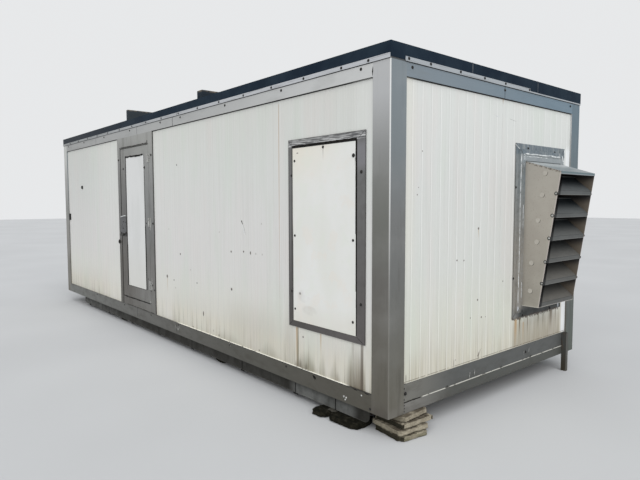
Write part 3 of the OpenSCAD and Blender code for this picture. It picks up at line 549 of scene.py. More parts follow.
add_beads(bm, on_end, [(0.178, up, 0.18, up + 0.014, 0.009)
                       for up in (0.012, 0.035, 0.058, 0.08, 0.104, 0.15, 0.19)])
add_beads(bm, on_end, ((0.19, 0.086, 0.4, 0.086, 0.006, 0.001, 0.6),))
add_beads(bm, on_side, [(back, up, back - 0.05, up - 0.004, 0.008, 0.001, 0.5)
                        for back, up in ((0.545, 0.143), (0.47, 0.143), (0.38, 0.141), (0.25, 0.14))])
add_beads(bm, on_end, [(across, 0.078, across + 0.004, 0.104, 0.01, 0.001, 0.5)
                       for across in (0.72, 1.54, 2.08)])
add_piece("rail_seams", bm, seam_and_painted_shade)
bare_steel = mottled("bare_steel", 0.02, 3, (0.35, 0.65), (0.16, 0.16, 0.15), (0.42, 0.42, 0.4), 0.5,
                     metallic=0.1)
bm = bmesh.new()
add_beads(bm, on_end, [(across, up, across + 0.01, up + 0.048, 0.008, 0.0008, 0.6)
                       for across, up in ((1.035, 0.098), (1.11, 0.105), (1.945, 0.13), (2.04, 0.14))])
scrapes = ((3.535, 0.1, 0.012), (3.48, 0.085, 0.02), (3.445, 0.11, 0.012), (2.256, 0.132, 0.007))
add_beads(bm, on_side, [(back, up, back - 0.02, up - 0.03, width, 0.0008, 0.5)
                        for back, up, width in scrapes])
add_piece("rail_scrapes", bm, bare_steel)

# Floor: cross joists under sheets of board, seen only through the doorway and from below.
# The boards are bare wood, trodden grey.
boards, place = start_material("floor_boards")
fibre = grain(place, 0.02, 3, (14, 1, 1))
colour = fibre.rise(0.3, 0.7).over((0.22, 0.16, 0.1), (0.33, 0.26, 0.18))
set_finish(boards, colour, 0.75, height=fibre, depth=0.0008)
dress(boards, "floor_deck", "roof_deck")
lining = mottled("ceiling_board", 0.8, 2, (0.3, 0.7), (0.58, 0.56, 0.51), (0.64, 0.62, 0.57), 0.7)
dress(lining, "ceiling_board")

# Roof sheet: a dark rubbered sheet laid over the deck and turned down behind the clamping strips.
# Its lengths run along the cabin, and their laps show as paler ridges on the end fascia.
rubber, place = start_material("roof_rubber")
x = split_axes(place)[0]
bloom = grain(place, 0.35, 3)
colour = bloom.rise(0.35, 0.7).over((0.006, 0.014, 0.026), (0.014, 0.026, 0.04)).coat(
    (x.rise(0.5, -4.0) * 0.8, (0.042, 0.046, 0.052)),
    (bloom.rise(0.55, 0.7) * facing(place, "z").rise(0.5, 0.9), (0.05, 0.054, 0.058)))
set_finish(rubber, colour, 0.85, height=grain(place, 0.03, 3), depth=0.002, specular=0.15)
dress(rubber, "roof_sheet")
sheet_low, sheet_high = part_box("roof_sheet")
lap_shade = mottled("roof_lap", 0.03, 3, (0.35, 0.65), (0.022, 0.032, 0.046), (0.08, 0.09, 0.1), 0.7,
                    specular=0.2)
bm = bmesh.new()
for across in (1.0, 2.08):
    left = post_low.y + across - 0.006
    right = post_low.y + across + 0.006
    add_bar(bm, (sheet_low.x, left, sheet_high.z - 0.001), (sheet_high.x, right, sheet_high.z + 0.0015))
    add_bar(bm, (sheet_high.x - 0.001, left, sheet_low.z), (sheet_high.x + 0.0015, right, sheet_high.z))
add_piece("roof_laps", bm, lap_shade)

# Clamping strips: flat aluminium bars screwed through the turned-down roof sheet into the top
# rail. The one on the cowl end is torn off past its middle and only a thin lip is left.
aluminium, place = start_material("strip_aluminium")
x = split_axes(place)[0]
scrape = grain(place, 0.03, 3, (12, 12, 0.5))
long_face = long_faces(place)
pale = x.rise(-4.0, 3.0).over((0.25, 0.26, 0.26), (0.48, 0.49, 0.51))
colour = long_face.over((0.36, 0.385, 0.405), pale).coat(
    (scrape.rise(0.5, 0.7) * 0.5, 0.18),
    # The strips' top and bottom faces are painted near-black as painted shade.
    (facing(place, "z").math("ABSOLUTE").rise(0.4, 0.8), (0.01, 0.012, 0.015)))
set_finish(aluminium, colour, scrape.rise(0.3, 0.7, 0.4, 0.6), 0.15)
dress(aluminium, "roof_strips")
bm = bmesh.new()
strip_out = 0.007
backs = [0.216] + [0.041 + 0.4705 * number for number in range(1, 17)]
add_screws(bm, on_side, [(back, 2.664, 0.012) for back in backs], strip_out)
acrosses = (0.19, 0.445, 0.83, 1.175, 1.505, 1.92)
add_screws(bm, on_end, [(across, 2.668, 0.012) for across in acrosses], strip_out)
add_bar(bm, on_side(3.3835, 2.65, 0.002), on_side(3.3785, 2.68, 0.0078))
add_piece("strip_screws", bm, dark_steel)

# Roof beams: two dark timbers that lie across the roof to hold the sheet down. Their top arrises
# are worn to a light brown, and the farther one is the paler.
timber, place = start_material("dark_timber")
x, _, z = split_axes(place)
figure = grain(place, 0.02, 3, (1, 16, 1))
colour = figure.rise(0.3, 0.7).over((0.01, 0.018, 0.026), (0.024, 0.032, 0.042))
worn = z.rise(3.03, 3.04) * x.rise(-1.0, -0.8) + z.rise(3.09, 3.1) * x.rise(-0.8, -1.0)
worn = worn * grain(place, 0.08, 2).rise(0.35, 0.6)
colour = colour.coat(
    (x.rise(-0.8, -1.2) * 0.7, (0.048, 0.056, 0.062)),
    (worn * 0.7, (0.19, 0.16, 0.125)))
set_finish(timber, colour, 0.9, height=figure, depth=0.0015, specular=0.15)
dress(timber, "roof_beams")


# Wall panels: thin pressed steel on a foam core, off-white, pressed with shallow grooves. They are
# clean up to head height and yellowed, streaked and brown at the foot, with old holes and scuffs;
# the foot's darkening is partly painted shade, and their groove slopes and their tops under the
# rails carry painted light and shade.
# Their face lies this far out from the posts' and rails' own.
PANEL_FACE = -0.015


def strongest(masks):
    """The highest of several masks."""
    total = masks[0]
    for mask in masks[1:]:
        total = total.math("MAXIMUM", mask)
    return total


def spot_mask(place, on, spots, out=0.0):
    """A mask of soft round spots on one side: across, up and the radius or radii of each."""
    masks = []
    for across, up, radius in spots:
        radii = radius if isinstance(radius, tuple) else (radius,) * 3
        gap = place.node("VectorMath", {0: place, 1: tuple(on(across, up, out))}, operation="SUBTRACT")
        gap = gap.node("VectorMath", {0: gap, 1: tuple(1.0 / r for r in radii)}, operation="MULTIPLY")
        masks.append(gap.node("VectorMath", {0: gap}, output=1, operation="LENGTH").rise(1.0, 0.6))
    return strongest(masks)


def drip_mask(place, on, drips, rough):
    """A mask of fading runs down one side: across and up of the start, length and half width of each."""
    masks = []
    x, y, z = split_axes(place)
    for across, up, length, width in drips:
        start = on(across, up)
        aside = x - start.x if on is on_side else y - start.y
        run = z.rise(start.z - length, start.z) * z.rise(start.z + 0.006, start.z)
        masks.append(aside.math("ABSOLUTE").rise(width, width * 0.25) * run)
    return strongest(masks) * rough.rise(0.25, 0.6, 0.45, 1.0)


def foot_mask(x, z, foot, streaks, rough):
    """A mask of dirt that climbs from the foot of the door side: distance from the cowl end, reach,
    half width and strength of each streak."""
    masks = []
    for back, reach, width, strength in streaks:
        aside = (x - (post_high.x - back)).math("ABSOLUTE") / z.rise(foot, foot + reach, width, width * 0.4)
        masks.append(aside.rise(1.0, 0.3) * z.rise(foot + reach, foot, 0.0, strength))
    return strongest(masks) * rough.rise(0.25, 0.6, 0.55, 1.0)


def panel_colour(place, foot, top, along, ribs, stops):
    """The off-white of a panel by height, with its streaks and grooves. Its foot is darkened partly
    for dirt and partly as painted shade, its groove slopes carry painted highlight and painted shade
    and its top under the rail is painted near-black as painted shade. ribs says how strongly its
    grooves and the runs below them show."""
    z = split_axes(place)[2]
    broad = grain(place, 0.3, 2, (1, 1, 5))
    fine = grain(place, 0.022, 3, (1, 1, 60))
    wide = grain(place, 0.1, 2, (1, 1, 12))
    slope = facing(place, along)
    groove = slope.rise(0.1, 0.22) * z.rise(foot + 0.32, foot) * wide.rise(0.36, 0.6)
    colour = ((z - foot) / 2.4).ramp(*stops)
    return colour.coat(
        (broad.rise(0.5, 0.68) * 0.26, (0.56, 0.625, 0.54)),
        (broad.rise(0.48, 0.32) * 0.26, (0.67, 0.61, 0.585)),
        (fine.rise(0.52, 0.66) * 0.26, (0.69, 0.7, 0.69)),
        (fine.rise(0.48, 0.34) * 0.26, (0.52, 0.52, 0.49)),
        (z.rise(foot + 0.6, foot + 0.02) * fine.rise(0.5, 0.66) * ribs * 1.4, (0.4, 0.37, 0.29)),
        (z.rise(foot + 0.3, foot) * wide.rise(0.5, 0.64) * 0.3, (0.33, 0.29, 0.21)),
        # Painted highlight and painted shade on the grooves' slopes, set by which way they face.
        (slope.rise(-0.1, -0.22) * ribs, (0.8, 0.8, 0.79)),
        (slope.rise(0.1, 0.22) * ribs * 0.9, (0.42, 0.42, 0.39)),
        (groove * 0.75, (0.11, 0.09, 0.055)),
        # The strip just under the rail is painted near-black as painted shade.
        (z.rise(top - 0.0085, top - 0.006), 0.01)), fine


side_panels, place = start_material("door_side_panels")
x, y, z = split_axes(place)
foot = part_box("window_wall")[0].z
under_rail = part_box("front_top_rail")[0].z
stops = (
    (0.0, 0.53, 0.505, 0.43), (0.03, 0.612, 0.586, 0.505), (0.065, 0.634, 0.604, 0.52),
    (0.115, 0.626, 0.61, 0.55), (0.19, 0.64, 0.633, 0.584), (0.315, 0.642, 0.63, 0.607),
    (0.52, 0.644, 0.633, 0.613), (0.77, 0.627, 0.635, 0.605), (1.0, 0.61, 0.612, 0.574))
colour, fine = panel_colour(place, foot, under_rail, "x", 0.24, stops)
streak = grain(place, 0.012, 3, (1, 1, 40))
door_side = y.rise(0.0, -1.0)
olive = (
    (0.99, 0.2, 0.19, 0.66), (1.105, 1.15, 0.026, 0.92), (1.23, 0.9, 0.12, 0.22), (0.77, 0.24, 0.06, 0.45),
    (0.62, 0.18, 0.07, 0.35), (1.55, 0.16, 0.2, 0.3), (2.3, 0.14, 0.3, 0.22))
brown = (
    (0.365, 0.42, 0.15, 0.82), (0.395, 0.8, 0.03, 0.5), (0.325, 0.38, 0.045, 0.7), (0.57, 0.1, 0.04, 0.35))
dark = ((0.291, 1.2, 0.026, 0.9), (0.985, 0.09, 0.028, 0.6), (1.09, 0.1, 0.085, 0.6))
clean = x.band(post_high.x - 0.253, post_high.x - 0.212, 0.004) * z.rise(0.7, 0.64)
# A pale line along the panels' foot is a painted highlight standing for the lit ledge below.
ledge_line = x.band(0.35, 3.37, 0.03) * z.rise(foot + 0.0035, foot + 0.0025) * streak.rise(0.42, 0.5)
rusty = (
    (1.118, 0.5, 0.42, 0.018), (0.787, 0.5, 0.22, 0.01), (3.77, 0.68, 0.26, 0.012), (1.372, 2.5, 2.3, 0.006))
holes = (
    (3.773, 0.69, 0.024), (3.394, 0.998, 0.015), (3.583, 0.661, 0.012), (2.985, 0.691, 0.012),
    (3.45, 2.07, 0.014), (2.224, 1.107, 0.014), (1.984, 1.123, 0.013), (2.015, 1.428, 0.013),
    (1.028, 0.43, 0.01), (2.224, 0.711, 0.018), (3.1, 0.16, 0.012), (2.5, 0.17, 0.01), (1.72, 0.165, 0.01),
    (1.859, 1.118, (0.012, 0.1, 0.02)), (2.842, 0.355, (0.013, 0.1, 0.034)))
smudges = (
    (1.764, 1.116, 0.014), (1.653, 1.117, 0.012), (2.463, 1.302, 0.011), (1.661, 1.413, 0.011),
    (3.54, 0.57, 0.014), (3.7, 1.29, 0.012), (3.14, 0.83, 0.012), (2.62, 0.2, 0.014))
colour = colour.coat(
    (x.rise(-1.6, -3.4) * z.rise(0.6, 2.5, 0.3, 1.0) * 0.25, (0.35, 0.36, 0.35)),
    (x.band(-2.03, 0.22, 0.1) * z.rise(0.95, 0.6) * 0.3, (0.7, 0.69, 0.66)),
    (x.band(1.55, 2.45, 0.2) * z.rise(0.95, 0.55) * 0.28, (0.42, 0.395, 0.32)),
    # Painted light: the strip between the window and the post is brightened against its shade.
    (x.rise(3.3, 3.56) * z.rise(0.7, 1.0) * 0.5, (0.68, 0.68, 0.655)),
    (foot_mask(x, z, foot, olive, streak) * door_side, (0.15, 0.132, 0.08)),
    (foot_mask(x, z, foot, brown, streak) * door_side, (0.125, 0.098, 0.062)),
    (foot_mask(x, z, foot, dark, streak) * door_side, (0.088, 0.067, 0.046)),
    (clean * 0.6, (0.6, 0.58, 0.52)),
    (ledge_line * 0.5, (0.78, 0.76, 0.68)),
    (drip_mask(place, on_side, rusty, fine) * door_side * 0.8, (0.42, 0.26, 0.11)),
    (spot_mask(place, on_side, holes, PANEL_FACE) * 0.95, (0.05, 0.036, 0.028)),
    (spot_mask(place, on_side, smudges, PANEL_FACE) * 0.5, (0.28, 0.26, 0.235)))
set_finish(side_panels, colour, fine.rise(0.3, 0.7, 0.42, 0.58))
dress(side_panels, "front_wall_left", "front_wall_middle", "window_wall", "back_wall")

end_panels, place = start_material("end_panels")
x, y, z = split_axes(place)
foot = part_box("right_wall")[0].z
stops = (
    (0.0, 0.562, 0.537, 0.45), (0.04, 0.592, 0.569, 0.478), (0.09, 0.592, 0.583, 0.507),
    (0.16, 0.6, 0.602, 0.528), (0.35, 0.606, 0.614, 0.58), (0.7, 0.628, 0.635, 0.612),
    (1.0, 0.655, 0.668, 0.64))
colour, fine = panel_colour(place, foot, under_rail, "y", 0.4, stops)
wide_dash = grain(place, 0.04, 2, (1, 1, 4))
cowl_end = x.rise(0.0, 1.0)
stained = y.band(0.27, 1.2, 0.03) * z.rise(0.7, 0.6) * cowl_end
runs = (
    (2.5, 0.5, 0.27, 0.05), (2.34, 0.5, 0.2, 0.014), (2.6, 0.5, 0.25, 0.012), (2.24, 0.5, 0.18, 0.014),
    (2.03, 0.5, 0.26, 0.012), (1.88, 0.5, 0.22, 0.018))
pale = ((2.13, 0.48, 0.24, 0.03), (2.42, 0.48, 0.22, 0.02))
orange = (
    (1.81, 0.495, 0.3, 0.036), (1.505, 2.545, 0.07, 0.01), (1.949, 0.45, 0.22, 0.014),
    (1.156, 1.38, 0.1, 0.006))
holes = (
    (0.383, 2.009, 0.006), (0.341, 1.731, 0.005), (0.327, 1.675, 0.007), (1.156, 1.39, 0.013),
    (0.85, 1.133, 0.01), (0.949, 1.125, 0.01), (1.564, 0.89, 0.008), (1.162, 0.764, 0.012),
    (1.058, 0.618, 0.008), (1.225, 0.602, 0.011), (1.291, 0.597, 0.007), (0.85, 0.288, 0.006),
    (1.185, 0.264, 0.009), *((across, 0.265, (0.1, 0.005, 0.04)) for across in (0.215, 0.83, 1.19)))
edge = grain(place, 0.022, 3) + (z - post_low.z - 0.512) * 10.0
ragged = edge.rise(0.3, 0.36) * z.rise(post_low.z + 0.54, post_low.z + 0.53) * y.band(0.24, 1.16, 0.01)
dashes = z.band(foot + 0.006, foot + 0.011, 0.001) * wide_dash.rise(0.36, 0.46)
colour = colour.coat(
    (y.rise(-1.15, -1.3) * z.rise(0.9, 1.5) * 0.5, (0.69, 0.67, 0.59)),
    (y.rise(1.225, 1.245) * z.rise(2.4, 2.3) * 0.8, (0.8, 0.82, 0.83)),
    (stained * fine.rise(0.3, 0.6, 0.7, 1.0) * z.rise(0.66, 0.42, 0.55, 0.85), (0.312, 0.274, 0.206)),
    (drip_mask(place, on_end, runs, fine) * cowl_end, (0.135, 0.098, 0.056)),
    (drip_mask(place, on_end, pale, fine) * cowl_end * 0.6, (0.62, 0.6, 0.53)),
    (drip_mask(place, on_end, orange, fine) * cowl_end * 0.85, (0.4, 0.25, 0.11)),
    (spot_mask(place, on_end, holes, PANEL_FACE) * 0.85, (0.08, 0.055, 0.04)),
    (ragged * cowl_end * 0.9, (0.05, 0.032, 0.018)),
    # A near-black line on the panel beside the near post is painted shade.
    (y.rise(-1.3145, -1.3165), 0.012),
    (dashes * 0.75, (0.07, 0.056, 0.04)))
set_finish(end_panels, colour, fine.rise(0.3, 0.7, 0.42, 0.58))
dress(end_panels, "right_wall", "cowl_wall", "left_wall")

# Scratches: grazes in the panel paint from handling. The deeper ones are dark, and two have their
# paint raised white.
bm = bmesh.new()
add_beads(bm, on_end, (
    (1.229, 0.323, 1.185, 0.255, 0.004, 0.0006), (1.626, 2.373, 1.74, 2.36, 0.0015, 0.0004)), PANEL_FACE)
add_beads(bm, on_side, (
    (2.02, 1.428, 1.99, 1.395, 0.012, 0.0006), (1.982, 1.39, 1.946, 1.3, 0.003, 0.0006)), PANEL_FACE)
add_piece("panel_scratches", bm, seam_and_painted_shade)
# This white serves for sealant and raised paint, and also as a painted highlight on the lock plate.
sealant_and_highlight = mottled("white_sealant_and_highlight", 0.02, 3, (0.35, 0.65), (0.46, 0.48, 0.48), (0.78, 0.8, 0.8), 0.45)
bm = bmesh.new()
add_beads(bm, on_side, ((2.001, 1.392, 1.962, 1.295, 0.007, 0.0008),), PANEL_FACE)
add_beads(bm, on_end, ((1.385, 2.381, 1.445, 2.374, 0.006, 0.0006),), PANEL_FACE)
add_piece("raised_paint", bm, sealant_and_highlight)

# Blanked window: a mitred frame of folded steel, painted grey and weathered, lined through the
# wall. A warm white board is screwed in its place at the height of the glass. Black bands and lines
# at the frame's edges, undersides and lining and round the board are painted shade.
window_low, window_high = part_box("window_frame")
board_low, board_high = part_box("window_board")
window_paint, place = start_material("window_paint")
x, y, z = split_axes(place)
cloud = grain(place, 0.1, 3)
rub = grain(place, 0.01, 4, (14, 1, 1))
left_side = x.rise(board_high.x - 0.1, board_low.x + 0.1)
colour = z.rise(0.75, 2.2).over((0.092, 0.084, 0.082), (0.132, 0.132, 0.13))
high_right = z.band(2.06, 2.26, 0.05) * x.rise(board_high.x - 0.02, board_high.x)
upper = z.rise(board_high.z + 0.004, board_high.z + 0.012)
lower_half = z.rise(board_high.z + 0.048, board_high.z + 0.028, 0.5, 1.0)
stripe = x.band(board_low.x - 0.04, board_low.x - 0.022, 0.008) * z.rise(0.8, 1.6)
# Painted shade: a black band just over the board's top under the top member, dark lines along the frame's
# edges and inner left edge, black undersides and a dark lining.
shade = z.band(board_high.z, board_high.z + 0.017, 0.002)
shade = shade * x.band(board_low.x - 0.002, board_high.x - 0.004, 0.002)
edge = z.rise(window_high.z - 0.008, window_high.z - 0.004)
edge = edge + x.rise(window_high.x - 0.005, window_high.x - 0.002) * 0.4
left_edge = x.rise(window_low.x + 0.01, window_low.x + 0.005) + x.band(board_low.x - 0.01, board_low.x, 0.002)
lining_shade = y.rise(window_low.y + 0.002, window_low.y + 0.008)
colour = colour.coat(
    (left_side * z.rise(2.1, 1.0, 0.6, 1.0) * 0.65, (0.05, 0.046, 0.042)),
    (cloud.rise(0.45, 0.75) * 0.35, (0.06, 0.056, 0.05)),
    (high_right * 0.6, (0.215, 0.21, 0.225)),
    (upper * 0.5, (0.16, 0.16, 0.164)),
    (upper * rub.rise(0.47, 0.58) * lower_half * 0.9, (0.58, 0.58, 0.57)),
    (upper * rub.rise(0.45, 0.37) * 0.7, (0.055, 0.055, 0.058)),
    (stripe * (1.0 - upper) * 0.35, (0.24, 0.242, 0.24)),
    (shade, 0.004),
    (edge * 0.65, (0.055, 0.052, 0.048)),
    (left_edge * z.rise(0.8, 1.4) * 0.35, (0.06, 0.056, 0.05)),
    (facing(place, "z").rise(-0.4, -0.8), 0.006),
    (lining_shade * 0.8, 0.012))
set_finish(window_paint, colour, cloud.rise(0.3, 0.7, 0.45, 0.65), specular=0.4)
dress(window_paint, "window_frame")
blank, place = start_material("blanking_board")
x, _, z = split_axes(place)
wash = grain(place, 0.5, 3, (1, 1, 2.5))
colour = wash.rise(0.35, 0.65).over((0.705, 0.705, 0.66), (0.74, 0.74, 0.715))
warm = z.rise(board_high.z - 0.45, board_high.z) * x.rise(board_high.x, board_low.x + 0.1)
mottle = grain(place, 0.16, 3)
spots = (
    (1.06, 0.815, (0.016, 0.1, 0.014)), (0.429, 1.984, 0.009), (1.093, 1.984, 0.009), (1.0, 1.6, 0.007),
    (0.7, 1.25, 0.006), (0.62, 0.93, 0.006), (0.88, 1.72, 0.006), (0.51, 1.46, 0.005),
    (1.09, 2.046, (0.016, 0.1, 0.006)), (0.8, 0.72, 0.007))
cloudy = spot_mask(place, on_side, ((1.01, 0.8, (0.1, 0.1, 0.07)), (0.93, 0.68, (0.12, 0.1, 0.05))))
drip = drip_mask(place, on_side, ((0.748, 2.06, 0.11, 0.007), (0.37, 1.96, 0.08, 0.006)), wash)
# Painted shade: the board's top under the frame and the lower part of its left edge are near-black.
left_gap = x.rise(board_low.x + 0.006, board_low.x + 0.003) * z.rise(1.7, 1.4)
under = z.rise(board_high.z - 0.0075, board_high.z - 0.0055)
colour = colour.coat(
    (z.rise(1.0, 0.74) * 0.5, (0.64, 0.61, 0.53)),
    (warm * 0.6, (0.74, 0.69, 0.58)),
    (mottle.rise(0.52, 0.66) * 0.3, (0.74, 0.675, 0.6)),
    (mottle.rise(0.46, 0.34) * 0.3, (0.69, 0.72, 0.64)),
    (spot_mask(place, on_side, spots) * 0.8, (0.07, 0.055, 0.045)),
    (cloudy * mottle.rise(0.4, 0.6) * 0.22, (0.38, 0.36, 0.32)),
    (drip * 0.6, (0.26, 0.25, 0.23)),
    (under.math("MAXIMUM", left_gap), 0.004))
set_finish(blank, colour, 0.5, height=wash, depth=0.001)
dress(blank, "window_board")
face = window_low.y
frame_out = post_low.y - face
bm = bmesh.new()
add_screws(bm, on_side, (
    (1.17, 1.855, 0.012), (0.296, 1.85, 0.014), (1.17, 0.825, 0.012), (0.296, 0.825, 0.013)), frame_out)
add_screws(bm, on_side, (
    (1.13, 1.98, 0.012), (0.387, 1.98, 0.017), (1.13, 1.325, 0.012), (0.389, 1.32, 0.012),
    (1.13, 0.67, 0.011), (0.389, 0.67, 0.012), (0.748, 2.073, 0.013)), post_low.y - board_low.y)
add_piece("window_screws", bm, dark_steel)
bm = bmesh.new()
for outer_x, inner_x in ((window_low.x, board_low.x), (window_high.x, board_high.x)):
    for outer_z, inner_z in ((window_low.z, board_low.z), (window_high.z, board_high.z)):
        add_bead(bm, FRONT, Vector((outer_x, face, outer_z)), Vector((inner_x, face, inner_z)), 0.004, 0.0006)
add_piece("window_mitres", bm, seam_and_painted_shade)
# Black bars and beads in the gaps round the board are painted shadow.
bm = bmesh.new()
right = board_high.x - 0.0035
side = board_low.y - 0.0012
gap_back = board_low.y + 0.001
for gap, low, high in ((0.01, board_low.z + 0.004, 1.1), (0.014, 1.1, 1.55), (0.018, 1.55, 2.273)):
    add_bar(bm, (right - gap, side, low), (right, gap_back, high))
add_bar(bm, (board_low.x + 0.001, face - 0.0006, 2.2755), (board_high.x - 0.004, face + 0.001, 2.2915))
for number in range(9):
    up = 0.62 + 0.165 * number + 0.03 * noise.noise(Vector((number * 3.1, 0.5, 2.0)))
    back = 0.3535 + 0.001 * number
    add_beads(bm, on_side, ((back, up, back, up + 0.07, 0.005, 0.0008, 0.5),), post_low.y - side)
    along = 0.085 * number
    add_beads(bm, on_side, ((1.1 - along, 2.112, 1.06 - along, 2.112, 0.006, 0.0008, 0.5),), frame_out)
add_bar(bm, (board_low.x + 0.001, side, board_low.z), (board_high.x - 0.004, gap_back, board_low.z + 0.002))
add_piece("window_gap", bm, seam_and_painted_shade)

# Cowl flange: stepped sheet zinc on steel round the hood, mitred at the corners and screwed to the
# panel. White sealant lines its upper steps. The foot is corroded and darkened as painted shade under
# the hood, and the zinc just above the hood's roof is lightened as painted light.
flange_low, flange_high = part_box("cowl_flange")
step = PANEL_FACE + 0.006
raised = 0.009
fold = 0.1
zinc, place = start_material("dull_zinc")
y, z = split_axes(place)[1:]
cells = place.node("TexVoronoi", {"Vector": place, "Scale": 60.0}, output=1)
spangle = cells.node("SeparateColor", {0: cells})
cloud = grain(place, 0.12, 3)
run = grain(place, 0.02, 3, (1, 1, 20))
colour = z.rise(1.2, 2.15).over((0.248, 0.231, 0.203), (0.195, 0.22, 0.228))
outer_edge = y.rise(flange_low.y + 0.012, flange_low.y + 0.004)
# Painted shade under the hood on the flange's foot.
shade = z.rise(0.83, 0.74) * y.rise(0.29, 0.39)
holes = spot_mask(place, on_end, ((1.878, 0.566, (0.1, 0.016, 0.028)), (2.455, 0.535, (0.1, 0.018, 0.024))))
patches = spot_mask(place, on_end, ((1.8, 0.606, (0.1, 0.018, 0.028)), (2.64, 0.55, (0.1, 0.014, 0.06))))
corroded = z.rise(0.712, 0.68) * grain(place, 0.025, 3).rise(0.44, 0.54)
colour = colour.coat(
    (z.rise(2.235, 2.262), (0.12, 0.155, 0.18)),
    (spangle.rise(0.3, 0.9) * 0.28, (0.3, 0.31, 0.31)),
    (cloud.rise(0.5, 0.75) * 0.35, (0.095, 0.09, 0.08)),
    (run.rise(0.52, 0.66) * z.rise(0.7, 1.0) * 0.4, (0.42, 0.42, 0.4)),
    (outer_edge * 0.6, (0.07, 0.066, 0.06)),
    # Painted light: the zinc just above the hood's roof is lightened against its shade.
    (z.rise(2.14, 2.19) * z.rise(2.235, 2.225) * y.rise(0.3, 0.36) * 0.5, (0.34, 0.37, 0.385)),
    # The foot's darkening is painted shade.
    (z.rise(0.82, 0.72) * 0.5, (0.09, 0.1, 0.104)),
    (shade * 0.9, (0.022, 0.026, 0.025)),
    (holes, 0.004),
    (patches * cloud.rise(0.3, 0.5, 0.5, 0.9), (0.5, 0.53, 0.56)),
    (corroded * 0.9, (0.06, 0.028, 0.012)))
set_finish(zinc, colour, cloud.rise(0.3, 0.7, 0.45, 0.65), 0.15)
dress(zinc, "cowl_flange")
bm = bmesh.new()
spots = (
    (1.745, 1.755), (1.735, 0.9), (1.95, 2.1275), (2.475, 2.1175), (1.92, 0.525), (2.4625, 0.525),
    (2.665, 1.755), (2.665, 0.9))
add_screws(bm, on_end, [(*spot, 0.012) for spot in spots], step)
add_piece("flange_screws", bm, dark_steel)
bm = bmesh.new()
for across, low, high, width in (
        (1.8, 0.66, 2.07, 0.007), (1.858, 0.7, 2.05, 0.005), (2.648, 1.45, 2.15, 0.012)):
    up = low
    while up < high:
        length = 0.1 + 0.16 * abs(noise.noise(Vector((across * 9, up * 7, 0))))
        finish = min(up + length, high)
        wave = 0.006 * noise.noise(Vector((up * 5, across * 5, 3)))
        add_beads(bm, on_end, ((across + wave, up, across + wave, finish, width, 0.002, 0.5),), raised)
        up = finish + 0.004 + 0.02 * abs(noise.noise(Vector((up * 13, across, 9))))
add_beads(bm, on_end, (
    (1.868, 2.072, 2.56, 2.073, 0.013, 0.003, 0.5), (1.9, 2.048, 2.3, 2.05, 0.006, 0.002, 0.6)), raised)
add_bead(bm, END, on_end(1.76, 2.13, step), on_end(1.868, 2.056, raised), 0.014, 0.003, 0.4)
add_beads(bm, on_end, ((1.722, 2.155, 1.76, 2.13, 0.009, 0.003, 0.4),), step)
add_beads(bm, on_end, ((2.6, 2.09, 2.628, 2.03, 0.018, 0.003, 0.5),), raised)
add_piece("sealant_lines", bm, sealant_and_highlight)
bm = bmesh.new()
for outer_y, inner_y in ((flange_low.y, flange_low.y + fold), (flange_high.y, flange_high.y - fold)):
    for outer_z, inner_z in ((flange_low.z, flange_low.z + fold), (flange_high.z, flange_high.z - fold)):
        corner = Vector((on_end(0, 0, step).x, outer_y, outer_z))
        inner = Vector((corner.x, inner_y, inner_z))
        middle = corner + (inner - corner) * 0.52
        add_bead(bm, END, corner, middle, 0.004, 0.0008)
        lifted = Vector((raised - step, 0, 0))
        add_bead(bm, END, middle + lifted, inner + lifted, 0.004, 0.0008)
add_piece("flange_mitres", bm, seam_and_painted_shade)

# Cowl hood: a tapering box of bent sheet painted beige, with a falling roof of bare zinc. The
# cheeks carry punched dimples, and bolts near their front edges hold the blades. Painted shade
# darkens the cheeks' back strips, the inside and the undersides; the roof near the wall has painted light.
hood_low, hood_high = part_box("cowl_hood")
cheek_foot = 0.81
cheek_lean = 0.1424
blade_pitch = 0.21017
beige, place = start_material("beige_hood_paint")
x, y, z = split_axes(place)
chalk = grain(place, 0.25, 3)
spatter = grain(place, 0.014, 3)
colour = ((z - 0.8) / 1.6).ramp(
    (0.0, 0.27, 0.251, 0.214), (0.5, 0.336, 0.309, 0.267), (1.0, 0.356, 0.332, 0.293))
reach = x - post_high.x - (z - cheek_foot) * cheek_lean
foot_line = (z - hood_low.z - (x - post_high.x) * 0.011).rise(0.01, 0.005)
rust = strongest([spot_mask(place, on_end, ((1.85, up, radii),), out) for up, radii, out in
                  ((1.915, (0.035, 0.1, 0.01), 0.28), (1.9, (0.02, 0.1, 0.012), 0.325))])
zinc_top = facing(place, "z").rise(0.5, 0.8)
roof_line = (z + (x - post_high.x) * 0.311).rise(2.166, 2.172) * (1.0 - zinc_top)
nose = facing(place, "x").rise(0.5, 0.8) * z.rise(2.046, 2.05)
inside = facing(place, "y").rise(-0.2, -0.8) * y.rise(1.04, 1.05)
under_lip = ((z - 0.812) / blade_pitch).math("FRACT").rise(0.55, 0.95)
deep = (0.154 - reach).rise(0.0, 0.14) * y.band(hood_low.y + 0.0045, hood_high.y - 0.0045, 0.0005)
